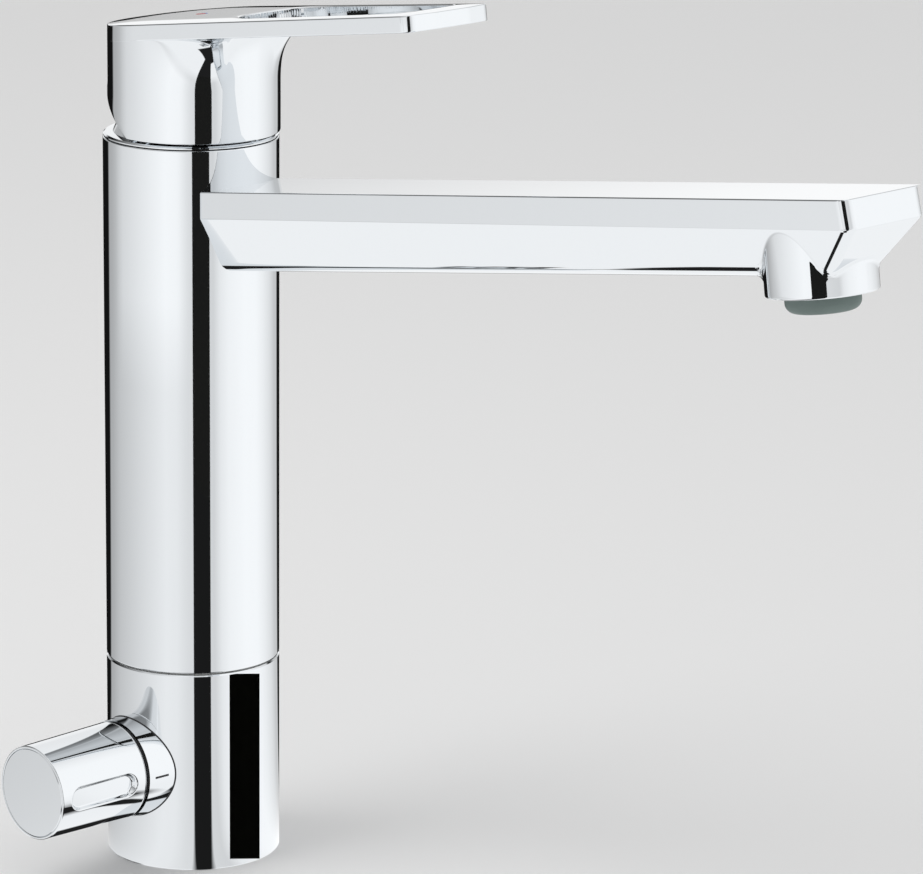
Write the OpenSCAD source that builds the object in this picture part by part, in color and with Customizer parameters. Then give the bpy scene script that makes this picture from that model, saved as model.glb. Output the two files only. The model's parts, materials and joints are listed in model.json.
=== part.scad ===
// Single-lever kitchen mixer tap with a swivelling flat spout, a loop lever
// and a dishwasher stop valve on the side of its base.
// Origin: centre of the base's underside, on the sink deck.
// +X runs along the spout, +Z is up, and the stop valve's axis runs along -Y.

/* [Body] */
// Outer diameter of the base and the swivel sleeve
body_d = 46; // [45:0.5:50]
// Height of the fixed base
base_h = 53.9; // [52:0.1:60]
// Visible joint between the base and the sleeve
joint_gap = 0.5; // [0.4:0.1:1]
// Height of the sleeve's top edge above the deck
sleeve_top = 194.2; // [190:0.1:230]
// Wall of the swivel sleeve
sleeve_wall = 2.5; // [2.2:0.1:3]
// Chamfer on the open edges of base, sleeve and collar
edge_chamfer = 0.35; // [0.2:0.05:0.6]
// Swivel of the spout to each side, in degrees
swivel = 70; // [40:5:75]

/* [Deck side] */
// Radius of the circle on which the four underside holes lie
port_circle = 9.8; // [9.6:0.1:10.5]
// Tapping radius of the hose sockets (M10x1)
hose_r = 4.5; // [4:0.1:4.6]
// Depth of the hose sockets
hose_depth = 12; // [10:0.5:13]
// Tapping radius of the fixing stud's hole (M8)
stud_r = 3.4; // [3:0.1:3.6]
// Depth of the fixing stud's hole
stud_depth = 20; // [16:1:24]
// Radius of the cold and hot risers
riser_r = 2.8; // [2:0.1:3]
// Radius of the mixed water's return
mixed_r = 4; // [3:0.1:4.2]
// Mean radius of the deck gasket
gasket_r = 19.7; // [18:0.1:20]
// Width of the deck gasket
gasket_w = 2.6; // [2:0.1:3]
// Height of the deck gasket
gasket_h = 1.95; // [1.5:0.05:2.5]

/* [Column] */
// Radius of the riser column
column_r = 16.5; // [16:0.1:17]
// Depth of the column's threaded foot in the base
foot_depth = 17.4; // [14:0.1:17.4]
// Depth of the cartridge cup at the column's top
cup_depth = 9.3; // [9:0.1:10]
// Height of a lip seal
lip_h = 2.3; // [2:0.1:2.5]
// Radial depth of a lip seal's groove
lip_depth = 1.8; // [1.5:0.1:2]

/* [Spout] */
// Drop from the sleeve's top edge to the spout's top face, on the body's axis
spout_drop = 13.3; // [13.2:0.1:40]
// Rise of the spout above the horizontal, in degrees
spout_rise = 8.1; // [4:0.1:10]
// Distance along the spout from the body's axis to the outlet's axis
spout_reach = 216.8; // [150:0.1:240]
// Distance along the spout from the outlet's axis to the crease across its end
spout_nose = 21.8; // [21:0.1:24]
// Width of the spout
spout_w = 27.2; // [27:0.1:29]
// Depth of the spout from top face to underside, on the body's axis
spout_root_depth = 21.9; // [20:0.1:23]
// Depth of the spout at its end
spout_tip_depth = 18.5; // [18:0.1:19.5]
// Height of the upright side faces
spout_side_h = 7; // [6:0.1:8]
// Slope of the lower side faces from the upright, in degrees
spout_flank = 20.5; // [19:0.5:22]
// Radius of the rounded lower edges
spout_edge_r = 3; // [2:0.1:3.2]
// How far the end's lower face slants back
spout_slant = 11.5; // [10:0.5:12]
// How far the end's upright face leans out
spout_lean = 0.8; // [0.4:0.1:1.2]
// Radius of the upright corners at the end
spout_corner_r = 2.4; // [1.5:0.1:3]
// Wall of the hollow spout
spout_wall = 2.8; // [2.4:0.1:3]

/* [Outlet] */
// Radius of the outlet boss
boss_r = 13.4; // [13:0.1:13.5]
// Distance from the spout's top face to the boss's lower end
boss_drop = 23.5; // [22:0.1:25]
// Radius of the aerator's socket
aerator_r = 9.6; // [9.2:0.1:9.8]
// Depth of the aerator's socket
aerator_depth = 11; // [10:0.5:12]
// Radius of the visible end of the aerator insert
insert_r = 9; // [8.6:0.1:9.1]
// How far the aerator insert stands out of the boss
insert_out = 4.3; // [3:0.1:5]
// Radius of the insert's rounded lower edge
insert_edge_r = 2.4; // [1.5:0.1:2.8]

/* [Lever] */
// How far the lever's head is set in from the body's outline
head_inset = 0.5; // [0.3:0.1:0.8]
// Offset of the head towards the spout
head_shift = 1.2; // [0.8:0.1:1.4]
// Wall of the hollow head
head_wall = 1.7; // [1.6:0.1:2]
// Height of the lever's top face above the head's lower edge, on the axis
head_h = 30.1; // [30:0.1:33]
// Rise of the lever's top face above the horizontal, in degrees
lever_rise = 8; // [6:0.1:10]
// Thickness of the lever's arm
arm_t = 4.6; // [4:0.1:5]
// Distance along the arm from the body's axis to its tip
arm_len = 96.5; // [90:0.5:120]
// Taper of the arm's sides, in degrees
arm_taper = 5; // [4:0.1:5.2]
// How far the arm's end bows out
arm_bow = 1.1; // [0.8:0.1:1.6]
// Radius of the arm's corners
arm_corner_r = 3.2; // [2.5:0.1:4]
// Distance along the arm from the body's axis to the loop opening
loop_start = 26.8; // [26.5:0.1:30]
// Width of the rim on both sides of the loop opening
loop_rim = 4.6; // [4:0.1:5.4]
// Width of the rim at the arm's end
loop_tip = 6.6; // [6:0.1:9]
// Radius of the opening's corners next to the head
loop_back_r = 12.6; // [11:0.1:12.8]
// Radius of the opening's corners next to the tip
loop_front_r = 5; // [4:0.1:6]
// Radius of the flare under the arm
flare_r = 8; // [6:0.1:9]
// Slope of the bevel at the head's back, in degrees
bevel = 34; // [32:1:38]
// Where the bevel starts on the head's lower edge
bevel_start = 0; // [0:0.1:1]
// Radius of the red and blue index dot
index_r = 1.6; // [1.2:0.1:2.2]
// Distance of the index dot from the body's axis
index_x = 4.4; // [3:0.1:8]
// Depth of the index dot's seat
index_depth = 0.6; // [0.4:0.1:0.8]
// Lift of the lever from closed to full flow, in degrees
lift = 25; // [18:1:25]

/* [Cap ring] */
// Height of the ring between sleeve and lever
cap_rim_h = 0.95; // [0.8:0.05:1.3]
// Wall of the cap's dome
cap_wall = 1.2; // [1:0.1:1.3]
// Gap above and below the cap ring
ring_gap = 0.3; // [0.25:0.05:0.5]

/* [Cartridge] */
// Radius of the cartridge
cartridge_r = 17.4; // [17:0.1:17.5]
// Height of the cartridge's base plate
cart_base_h = 2.8; // [2.5:0.1:3]
// Radius of the cartridge's neck
neck_r = 15; // [14.8:0.1:15.2]
// Bore of the cartridge's neck
neck_bore = 13.1; // [13:0.1:13.2]
// Height of the cartridge's flange
flange_h = 2.6; // [2.4:0.1:2.8]
// Thickness of the fixed ceramic disc
fixed_disc_t = 3.5; // [3:0.1:3.5]
// Thickness of the moving ceramic disc
moving_disc_t = 3; // [2.6:0.1:3]
// Radius of the moving ceramic disc
moving_disc_r = 9.8; // [9.4:0.1:10]
// Half width of the moving disc across its flats
disc_flat = 7.4; // [7:0.1:7.6]
// Thickness of the disc driver
driver_t = 3.4; // [3.2:0.1:3.4]
// Distance from the lever's pivot to the ball in the driver
ball_arm = 9.5; // [9.3:0.1:9.6]
// Radius of the spindle's ball
ball_r = 2.1; // [1.9:0.1:2.1]
// Radius of the turning carrier's neck
carrier_r = 9.5; // [9:0.1:9.6]
// Thickness of the turning carrier's plate
carrier_t = 3.8; // [3.6:0.1:3.8]
// Radius of the pivot pin
pin_r = 1.5; // [1.2:0.1:1.7]
// Height of the pivot above the carrier's plate
pivot_h = 4.9; // [4.7:0.1:5]
// Width of the square spindle
spindle_w = 7; // [6:0.1:7]
// Height of the spindle's top above the pivot
spindle_top = 15.5; // [14:0.1:15.6]
// Radius of the lever's set screw (M5)
set_screw_r = 2.1; // [2:0.05:2.4]
// Length of the set screw
set_screw_len = 8; // [6:0.5:8]

/* [Stop valve] */
// Distance from the base's top edge down to the stop valve's axis
valve_drop = 27.1; // [26.7:0.1:28]
// How far the knob's end face stands out of the base
knob_out = 33.5; // [31:0.1:39]
// Radius of the knob at its end face
knob_r = 12.5; // [12:0.1:12.8]
// Radius of the knob next to the collar
knob_root_r = 13; // [12.8:0.1:13.2]
// How far the collar's outer face stands out of the base
collar_out = 4.2; // [4:0.1:5]
// Radius of the collar at its outer face
collar_r = 13.2; // [13:0.1:13.5]
// Radius of the collar at the body's axis
collar_root_r = 14.4; // [14:0.1:14.6]
// Width of the dark groove between collar and knob
groove_w = 0.9; // [0.8:0.05:1.2]
// Width of the knob's thumb recess
recess_w = 6; // [5:0.1:7]
// Length of the knob's thumb recess
recess_len = 21.5; // [18:0.5:22]
// Depth of the knob's thumb recess
recess_depth = 1.5; // [1:0.1:1.6]
// Distance from the knob's end face to the recess
recess_inset = 3.4; // [3:0.1:4]
// Radius of the headpart's thread
headpart_r = 8.45; // [8.2:0.05:8.45]
// Radius of the valve's spindle
valve_spindle_r = 3.5; // [3:0.1:3.6]
// Radius of the valve's ceramic discs
valve_disc_r = 6.1; // [5.8:0.1:6.2]
// Thickness of each of the valve's ceramic discs
valve_disc_t = 2.5; // [2:0.1:2.5]

/* [Clearances] */
// Gap between two fixed pieces that are screwed or pressed together
fit = 0.05; // [0.03:0.01:0.08]
// Radial gap of a running fit
run = 0.08; // [0.05:0.01:0.1]
// Gap between pieces that move past each other without touching
free = 0.3; // [0.25:0.05:0.35]

/* [Hidden] */
$fn = 96;
eps = 0.01;

body_r = body_d / 2;
sleeve_z = base_h + joint_gap;
sleeve_bore = body_r - sleeve_wall;
land_r = sleeve_bore - free;
seal_reach = sleeve_bore - run;

// The deck side: angles of the underside's holes
hot_angle = 195;
cold_angle = 100;
stud_angle = 20;
washer_angle = 290;
mixed_angle = 325;
mixed_circle = 8;
riser_angles = [hot_angle, cold_angle];
valve_feed_r = 2.5;
washer_feed_r = 2.5;
gasket_seat_gap = 0.05;

// The spout's own frame: its keel is the flat underside, which rises towards the end
spout_len = spout_reach + spout_nose;
spout_half = spout_w / 2;
keel_rise = (spout_root_depth - spout_tip_depth) / spout_len;
keel_half = spout_half - (spout_root_depth - spout_side_h) * tan(spout_flank);
keel_spread = keel_rise * tan(spout_flank);
channel_end = spout_reach + aerator_r - 1;
channel_depth = spout_root_depth - keel_rise * channel_end - spout_wall;

// The column, from foot to cup
foot_z = base_h - foot_depth;
foot_r = column_r - 0.5;
cup_top = sleeve_top + ring_gap;
cup_floor = cup_top - cup_depth;
spout_z = sleeve_top - spout_drop;
chamber_r = column_r - 1.5;
chamber_top = spout_z + 0.8;
chamber_z = spout_z - channel_depth - 1.1;
lip_land = 3.3;
upper_lip_z = chamber_top + 0.7;
lower_lip_z = chamber_z - lip_land - lip_h;
lower_land_z = lower_lip_z - lip_land;
riser_seal_w = 1.2;
riser_seal_h = 1.2;

// Glide rings and the swivel's stop
glide_flange_r = sleeve_bore + 0.9;
glide_flange_h = 2.5;
glide_h = 8;
upper_glide_t = 0.9;
upper_glide_h = 4;
upper_glide_z = cup_floor + 3.3;
stop_ring_z = base_h + glide_h + fit;
stop_ring_h = 4;
lug_w = 6;
lug_r = column_r + 1.7;
lug_half_angle = asin(lug_w / 2 / lug_r);
stop_play = 0.8;

// The cartridge, from the cup's floor up
cart_z = cup_floor + fit;
cart_flange_z = cart_z + cart_base_h;
disc_z = cart_flange_z + fixed_disc_t;
film = 0.02;
moving_z = disc_z + film;
driver_z = moving_z + moving_disc_t + fit;
carrier_z = driver_z + driver_t + free;
lid_z = carrier_z + carrier_t + free;
lid_t = 2;
pivot_z = carrier_z + carrier_t + pivot_h;
ball_z = pivot_z - ball_arm;
stroke = ball_arm * lift * PI / 180;
carrier_top = pivot_z + 2.5;
nut_z = cart_flange_z + flange_h + fit;
nut_hex_h = 3.4;
nut_wrench_r = 16.6;
port_r = 2.2;
port_seal_w = 1.2;
port_seal_h = 1;

// The cap ring
cap_z = cup_top;
cap_rim_r = body_r - 0.1;
cap_hole_r = carrier_r + 2;

// The lever
head_z = cap_z + cap_rim_h + ring_gap + 0.05;
head_r = body_r - head_inset;
head_bore = head_r - head_wall;
top_z = head_z + head_h;
roof_z = pivot_z + 9;
hub_r = 6.8;
hub_z = pivot_z + 6.4;
socket_top = pivot_z + spindle_top + 0.4;
screw_z = roof_z + 3.2;
cover_r = set_screw_r + 0.7;
cover_depth = 3;

// The stop valve
stop_z = base_h - valve_drop;
collar_end = body_r + collar_out;
collar_foot = 10;
knob_end = body_r + knob_out;
chamber_back = 9;
headpart_back = chamber_back + 0.3;
hex_r = 10;
hex_z = body_r + 0.1;
hex_t = 3.2;
guide_r = 6.5;
guide_end = hex_z + hex_t + 6;
cavity_r = valve_disc_r + run;
fixed_valve_disc_z = headpart_back + 0.1;
turning_disc_z = fixed_valve_disc_z + valve_disc_t + film;
drive_z = turning_disc_z + valve_disc_t + fit;
drive_t = 2.3;
cavity_end = drive_z + drive_t + free;
knob_z = collar_end + groove_w;
knob_len = knob_end - knob_z;
knob_cavity_r = 10.2;
knob_cavity_len = 11;
knob_seat_len = 8;
valve_spindle_end = knob_z + knob_cavity_len + knob_seat_len;
knob_cap_t = 1.6;
knob_cap_r = knob_r - 0.7;
screw_head_r = 3.6;
screw_head_t = 2.4;
knob_screw_r = 1.6;
knob_screw_len = 7;
knob_web = 1.6;

// Half width of the lever's arm at a distance along it
function arm_half(x) = head_r / cos(arm_taper) - (x - head_shift) * tan(arm_taper);

// Where two directions meet at a corner
function unit(v) = v / norm(v);
function corner_angle(a, p, b) = acos(unit(a - p) * unit(b - p));
function corner_cut(a, p, b, r) =
    r == 0 ? [p] :
    let (t = r / tan(corner_angle(a, p, b) / 2))
    [p + unit(a - p) * t, p + unit(b - p) * t];
function corner_centre(a, p, b, r) =
    p + unit(unit(a - p) + unit(b - p)) * r / sin(corner_angle(a, p, b) / 2);

// A convex outline with true arcs at its corners
module rounded_polygon(pts, radii) {
    n = len(pts);
    polygon([for (i = [0:n - 1])
        each corner_cut(pts[(i + n - 1) % n], pts[i], pts[(i + 1) % n], radii[i])]);
    for (i = [0:n - 1])
        if (radii[i] > 0)
            translate(corner_centre(pts[(i + n - 1) % n], pts[i], pts[(i + 1) % n], radii[i]))
                circle(radii[i]);
}

// A tube standing on height z
module tube(r_out, r_in, z, h) {
    translate([0, 0, z])
        difference() {
            cylinder(r = r_out, h = h);
            translate([0, 0, -1]) cylinder(r = r_in, h = h + 2);
        }
}

// A tube with chamfered outer edges
module edged_tube(r_out, r_in, z, h, c) {
    translate([0, 0, z])
        rotate_extrude()
            polygon([
                [r_in, 0], [r_out - c, 0], [r_out, c],
                [r_out, h - c], [r_out - c, h], [r_in, h]
            ]);
}

// Places its children at a radius and an angle
module at_port(angle, radius = port_circle) {
    rotate([0, 0, angle]) translate([radius, 0, 0]) children();
}

// The stop valve's frame: +Z leaves the body along -Y of the tap
module valve_frame() {
    translate([0, 0, stop_z]) rotate([90, 0, 0]) children();
}

// The spout's frame: +X runs along the top face, which is the plane z = 0
module spout_frame() {
    translate([0, 0, spout_z]) rotate([0, -spout_rise, 0]) children();
}

// The arm's frame: +X runs along the lever's top face, which is the plane z = 0
module arm_frame() {
    translate([0, 0, top_z]) rotate([0, -lever_rise, 0]) children();
}

// Fixed base: casting with hose sockets, stud hole, risers and the valve's chamber
module base_body() {
    color("silver")
        difference() {
            edged_tube(body_r, 0, 0, base_h, edge_chamfer);
            translate([0, 0, -eps])
                tube(gasket_r + gasket_w / 2 + gasket_seat_gap,
                    gasket_r - gasket_w / 2 - gasket_seat_gap, 0, gasket_h + gasket_seat_gap);
            for (angle = [hot_angle, cold_angle, washer_angle])
                at_port(angle) translate([0, 0, -1]) cylinder(r = hose_r, h = hose_depth + 1);
            at_port(stud_angle) translate([0, 0, -1]) cylinder(r = stud_r, h = stud_depth + 1);
            for (angle = riser_angles)
                at_port(angle) cylinder(r = riser_r, h = foot_z + 1);
            translate([0, 0, foot_z]) cylinder(r = foot_r + fit, h = foot_depth + 1);
            valve_frame() translate([0, 0, chamber_back]) cylinder(r = headpart_r + fit, h = body_r);
            at_port(washer_angle) translate([0, -1.8, hose_depth - 1])
                cylinder(r = washer_feed_r, h = stop_z - hose_depth);
            translate([port_circle * cos(cold_angle), port_circle * sin(cold_angle), stop_z])
                rotate([90, 0, 0]) cylinder(r = valve_feed_r, h = port_circle + chamber_back + 1);
        }
}

// Rubber ring that seals the base on the deck
module deck_gasket() {
    color("dimgray") tube(gasket_r + gasket_w / 2, gasket_r - gasket_w / 2, 0, gasket_h);
}

// Brass column from the base to the cartridge cup, with its waterways
module riser_column() {
    color("goldenrod")
        difference() {
            union() {
                translate([0, 0, foot_z + fit]) cylinder(r = foot_r, h = foot_depth);
                translate([0, 0, base_h]) cylinder(r = column_r, h = lower_land_z - base_h + eps);
                translate([0, 0, lower_land_z]) cylinder(r = land_r, h = chamber_z - lower_land_z);
                translate([0, 0, chamber_z - eps])
                    cylinder(r = chamber_r, h = chamber_top - chamber_z + 2 * eps);
                translate([0, 0, chamber_top]) cylinder(r = land_r, h = cup_top - chamber_top);
            }
            for (z = [lower_lip_z, upper_lip_z])
                tube(land_r + 1, land_r - lip_depth, z, lip_h);
            tube(land_r + 1, sleeve_bore - run - upper_glide_t - fit, upper_glide_z - fit,
                upper_glide_h + 2 * fit);
            translate([0, 0, cup_floor]) cylinder(r = cartridge_r + fit, h = cup_depth + 1);
            for (angle = riser_angles)
                at_port(angle) {
                    translate([0, 0, foot_z - 1]) cylinder(r = riser_r, h = cup_floor - foot_z + 2);
                    translate([0, 0, foot_z])
                        cylinder(r = riser_r + riser_seal_w + fit, h = riser_seal_h + 2 * fit);
                }
            at_port(mixed_angle, mixed_circle) {
                translate([0, 0, chamber_z + 4]) cylinder(r = mixed_r, h = cup_floor - chamber_z);
                translate([0, 0, chamber_z + 4 + mixed_r])
                    rotate([0, 90, 0]) cylinder(r = mixed_r, h = column_r);
            }
        }
}

// Rings that seal the two risers under the column's foot
module riser_seals() {
    color("dimgray")
        for (angle = riser_angles)
            at_port(angle)
                tube(riser_r + riser_seal_w, riser_r + 2 * fit, foot_z + fit, riser_seal_h);
}

// Plastic ring that carries and centres the sleeve on the base
module lower_glide_ring() {
    color("whitesmoke") {
        difference() {
            union() {
                translate([0, 0, base_h]) cylinder(r = glide_flange_r, h = glide_flange_h);
                translate([0, 0, base_h]) cylinder(r = sleeve_bore - run, h = glide_h);
            }
            translate([0, 0, base_h - 1]) cylinder(r = column_r + fit, h = glide_h + 2);
        }
    }
}

// Half planes that meet in an open sector behind the axis
module for_both(half) {
    intersection() {
        rotate([0, 0, 180 - half]) children();
        rotate([0, 0, half]) children();
    }
}

// Ring on the column whose open sector ends the spout's swivel
module swivel_stop() {
    half = swivel + lug_half_angle + stop_play;
    color("gray")
        difference() {
            tube(land_r, column_r + fit, stop_ring_z, stop_ring_h);
            intersection() {
                tube(land_r + 1, lug_r - free, stop_ring_z - 1, stop_ring_h + 2);
                for_both(half) translate([-body_d, 0, stop_ring_z - 1])
                    cube([2 * body_d, body_d, stop_ring_h + 2]);
            }
        }
}

// Rubber lip seals below and above the water chamber
module lip_seal(z) {
    tube(seal_reach, land_r - lip_depth + fit, z + fit, lip_h - 2 * fit);
}
module lower_lip_seal() {
    color("dimgray") lip_seal(lower_lip_z);
}
module upper_lip_seal() {
    color("dimgray") lip_seal(upper_lip_z);
}

// Thin plastic ring that centres the sleeve's top
module upper_glide_ring() {
    color("whitesmoke")
        tube(seal_reach, sleeve_bore - run - upper_glide_t, upper_glide_z, upper_glide_h);
}

// Rings that seal the cartridge's three ports on the cup's floor
module port_seals() {
    color("dimgray") {
        for (angle = riser_angles)
            at_port(angle) tube(riser_r + port_seal_w, riser_r + 2 * fit, cart_z, port_seal_h);
        at_port(mixed_angle, mixed_circle)
            tube(mixed_r + port_seal_w, mixed_r + 2 * fit, cart_z, port_seal_h);
    }
}

// Cartridge base plate with the three ports
module cartridge_base() {
    color("ivory")
        translate([0, 0, cart_z])
            difference() {
                cylinder(r = cartridge_r, h = cart_base_h);
                for (angle = riser_angles)
                    at_port(angle) {
                        translate([0, 0, -1]) cylinder(r = riser_r, h = cart_base_h + 2);
                        translate([0, 0, -1])
                            cylinder(r = riser_r + port_seal_w + fit, h = port_seal_h + fit + 1);
                    }
                at_port(mixed_angle, mixed_circle) {
                    translate([0, 0, -1]) cylinder(r = mixed_r, h = cart_base_h + 2);
                    translate([0, 0, -1])
                        cylinder(r = mixed_r + port_seal_w + fit, h = port_seal_h + fit + 1);
                }
            }
}

// Cartridge housing: flange, neck and lid
module cartridge_housing() {
    color("ivory")
        difference() {
            union() {
                translate([0, 0, cart_flange_z + fit]) cylinder(r = cartridge_r, h = flange_h - fit);
                translate([0, 0, cart_flange_z + fit])
                    cylinder(r = neck_r, h = lid_z + lid_t - cart_flange_z - fit - 1);
                translate([0, 0, lid_z + lid_t - 1 - eps])
                    cylinder(r1 = neck_r, r2 = neck_r - 1, h = 1 + eps);
            }
            translate([0, 0, cart_flange_z - 1]) cylinder(r = neck_bore, h = lid_z - cart_flange_z + 1);
            translate([0, 0, lid_z - 1]) cylinder(r = carrier_r + free, h = lid_t + 2);
        }
}

// Fixed ceramic disc with its three ports
module fixed_disc() {
    color("gainsboro")
        translate([0, 0, cart_flange_z])
            difference() {
                cylinder(r = neck_bore - fit, h = fixed_disc_t);
                for (angle = riser_angles)
                    at_port(angle, mixed_circle)
                        translate([0, 0, -1]) cylinder(r = port_r, h = fixed_disc_t + 2);
                at_port(mixed_angle, mixed_circle - 2.5)
                    translate([0, 0, -1]) cylinder(r = mixed_r - 1, h = fixed_disc_t + 2);
            }
}

// Brass nut that clamps the cartridge in its cup
module cartridge_nut() {
    color("goldenrod")
        difference() {
            union() {
                translate([0, 0, nut_z]) cylinder(r = cartridge_r, h = cup_top - nut_z);
                translate([0, 0, cup_top - eps]) cylinder(r = nut_wrench_r, h = nut_hex_h, $fn = 12);
            }
            translate([0, 0, nut_z - 1]) cylinder(r = neck_r + free, h = cup_top - nut_z + nut_hex_h + 2);
        }
}

// Outer side of the cap: flange, cone and the dome that the lever's head tilts around
function cap_side(wall) =
    let (r = head_bore - 0.4 - wall, pivot = pivot_z - cap_z)
    [[r, cap_rim_h - wall * 0.4], [r - 1, cap_rim_h + 2], [r - 2.2, cap_rim_h + 3.7],
     [r - 2.2, pivot - 7], [r - 1.9, pivot - 4.5], [r - 1.8, pivot - 2], [r - 1.8, pivot],
     [r - 2.4, pivot + 0.9 - wall * 0.4], [r - 3.8, pivot + 1.6 - wall * 0.8]];

// Chrome cap between sleeve and lever: a flange and a dome over the cartridge
module cap_ring() {
    outer = cap_side(0);
    inner = cap_side(cap_wall);
    n = len(outer);
    top = pivot_z - cap_z + 2.6;
    color("silver")
        translate([0, 0, cap_z])
            rotate_extrude()
                polygon(concat(
                    [[inner[0][0], 0], [cap_rim_r, 0], [cap_rim_r, cap_rim_h * 0.3],
                     [cap_rim_r - 0.5, cap_rim_h * 0.75]],
                    outer,
                    [[cap_hole_r, top], [cap_hole_r, top - cap_wall]],
                    [for (i = [n - 1:-1:0]) inner[i]]));
}

// Brass headpart of the stop valve, screwed into the base
module valve_headpart() {
    color("goldenrod")
        valve_frame()
            difference() {
                union() {
                    translate([0, 0, headpart_back]) cylinder(r = headpart_r, h = hex_z - headpart_back);
                    translate([0, 0, hex_z - eps]) cylinder(r = hex_r, h = hex_t, $fn = 6);
                    translate([0, 0, hex_z]) cylinder(r = guide_r, h = guide_end - hex_z);
                }
                translate([0, 0, headpart_back - 1])
                    cylinder(r = cavity_r, h = cavity_end - headpart_back + 1);
                translate([0, 0, cavity_end - 1])
                    cylinder(r = valve_spindle_r + run, h = guide_end - cavity_end + 2);
                tube(headpart_r + 1, cavity_r + 1, headpart_back + 1, 3.6);
                for (side = [-1, 1])
                    translate([0, 0, headpart_back + 2.8])
                        rotate([side * 90, 0, 0]) cylinder(r = 1.2, h = headpart_r + 1);
                tube(headpart_r + 1, headpart_r - 1, hex_z - 5.5, 1.8);
            }
}

// Rubber ring on the headpart's neck
module headpart_seal() {
    color("dimgray")
        valve_frame() tube(headpart_r, headpart_r - 1 + fit, hex_z - 5.5 + fit, 1.8 - 2 * fit);
}

// Fixed ceramic disc of the stop valve, with two quarter ports
module valve_fixed_disc() {
    color("gainsboro")
        valve_frame()
            translate([0, 0, fixed_valve_disc_z])
                difference() {
                    cylinder(r = valve_disc_r, h = valve_disc_t);
                    for (side = [-1, 1])
                        translate([side * valve_disc_r / 2, 0, -1])
                            cylinder(r = valve_disc_r / 3, h = valve_disc_t + 2);
                }
}

// Turning ceramic disc of the stop valve
module turning_disc() {
    color("white")
        valve_frame()
            translate([0, 0, turning_disc_z])
                difference() {
                    cylinder(r = valve_disc_r, h = valve_disc_t);
                    for (side = [-1, 1])
                        translate([0, side * valve_disc_r / 2, -1])
                            cylinder(r = valve_disc_r / 3, h = valve_disc_t + 2);
                }
}

// Spindle of the stop valve, with the flange that drives the disc
module valve_spindle() {
    color("goldenrod")
        valve_frame() {
            translate([0, 0, drive_z]) cylinder(r = valve_disc_r, h = drive_t);
            difference() {
                translate([0, 0, drive_z]) cylinder(r = valve_spindle_r, h = valve_spindle_end - drive_z);
                translate([0, 0, valve_spindle_end - knob_screw_len])
                    cylinder(r = knob_screw_r + fit, h = knob_screw_len + 1);
            }
        }
}

// Chrome collar that covers the headpart and meets the base's round side
module valve_collar() {
    slope = (collar_root_r - collar_r) / collar_end;
    color("silver")
        difference() {
            valve_frame()
                difference() {
                    translate([0, 0, collar_foot])
                        cylinder(
                            r1 = collar_root_r - slope * collar_foot,
                            r2 = collar_r,
                            h = collar_end - collar_foot
                        );
                    translate([0, 0, collar_foot - 1]) cylinder(r = hex_r + free, h = collar_end);
                }
            translate([0, 0, -1]) cylinder(r = body_r + fit, h = base_h + 2);
        }
}

// Dark ring at the bottom of the groove between collar and knob
module groove_ring() {
    color("dimgray")
        valve_frame()
            tube(knob_root_r - 0.9, guide_r + fit, collar_end, groove_w - free);
}

// Knob of the stop valve, with a thumb recess on its side
module stop_knob() {
    floor_x = knob_r - recess_depth + (knob_root_r - knob_r) / 2;
    recess_z = knob_end - recess_inset - recess_len;
    color("silver")
        valve_frame()
            difference() {
                translate([0, 0, knob_z])
                    rotate_extrude()
                        polygon([
                            [0, 0], [knob_root_r - edge_chamfer, 0], [knob_root_r, edge_chamfer],
                            [knob_r, knob_len - edge_chamfer], [knob_r - edge_chamfer, knob_len],
                            [0, knob_len]
                        ]);
                translate([0, 0, knob_z - 1]) cylinder(r = knob_cavity_r, h = knob_cavity_len + 1);
                translate([0, 0, knob_z])
                    cylinder(r = valve_spindle_r + fit, h = valve_spindle_end - knob_z + fit);
                translate([0, 0, knob_z]) cylinder(r = knob_screw_r + free, h = knob_len);
                translate([0, 0, valve_spindle_end + knob_web])
                    cylinder(r = screw_head_r + free, h = knob_len);
                translate([0, 0, knob_end - knob_cap_t]) cylinder(r = knob_cap_r + fit, h = knob_cap_t + 1);
                translate([floor_x, 0, recess_z + recess_w / 2])
                    rotate([0, 90, 0])
                        linear_extrude(knob_root_r)
                            union() {
                                circle(recess_w / 2);
                                translate([-(recess_len - recess_w), 0]) circle(recess_w / 2);
                                translate([-(recess_len - recess_w), -recess_w / 2])
                                    square([recess_len - recess_w, recess_w]);
                            }
            }
}

// Screw that holds the knob on its spindle
module knob_screw() {
    head_z0 = valve_spindle_end + knob_web;
    shank_z = valve_spindle_end - knob_screw_len + 1;
    color("lightgray")
        valve_frame()
            difference() {
                union() {
                    translate([0, 0, shank_z]) cylinder(r = knob_screw_r, h = head_z0 + 2 * fit - shank_z);
                    translate([0, 0, head_z0 + fit]) cylinder(r = screw_head_r, h = screw_head_t);
                }
                for (turn = [0, 90])
                    rotate([0, 0, turn])
                        translate([-screw_head_r * 0.6, -0.5, head_z0 + screw_head_t - 1])
                            cube([screw_head_r * 1.2, 1, 2]);
            }
}

// Flat cap in the knob's end face
module knob_cap() {
    color("silver")
        valve_frame()
            translate([0, 0, knob_end - knob_cap_t + fit])
                rotate_extrude()
                    polygon([
                        [0, 0], [knob_cap_r, 0], [knob_cap_r, knob_cap_t - fit - 0.2],
                        [knob_cap_r - 0.2, knob_cap_t - fit], [0, knob_cap_t - fit]
                    ]);
}

// Plan of the spout with its rounded end corners
module spout_plan() {
    rounded_polygon(
        [[0, -spout_half], [spout_len, -spout_half], [spout_len, spout_half], [0, spout_half]],
        [0, spout_corner_r, spout_corner_r, 0]);
}

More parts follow.
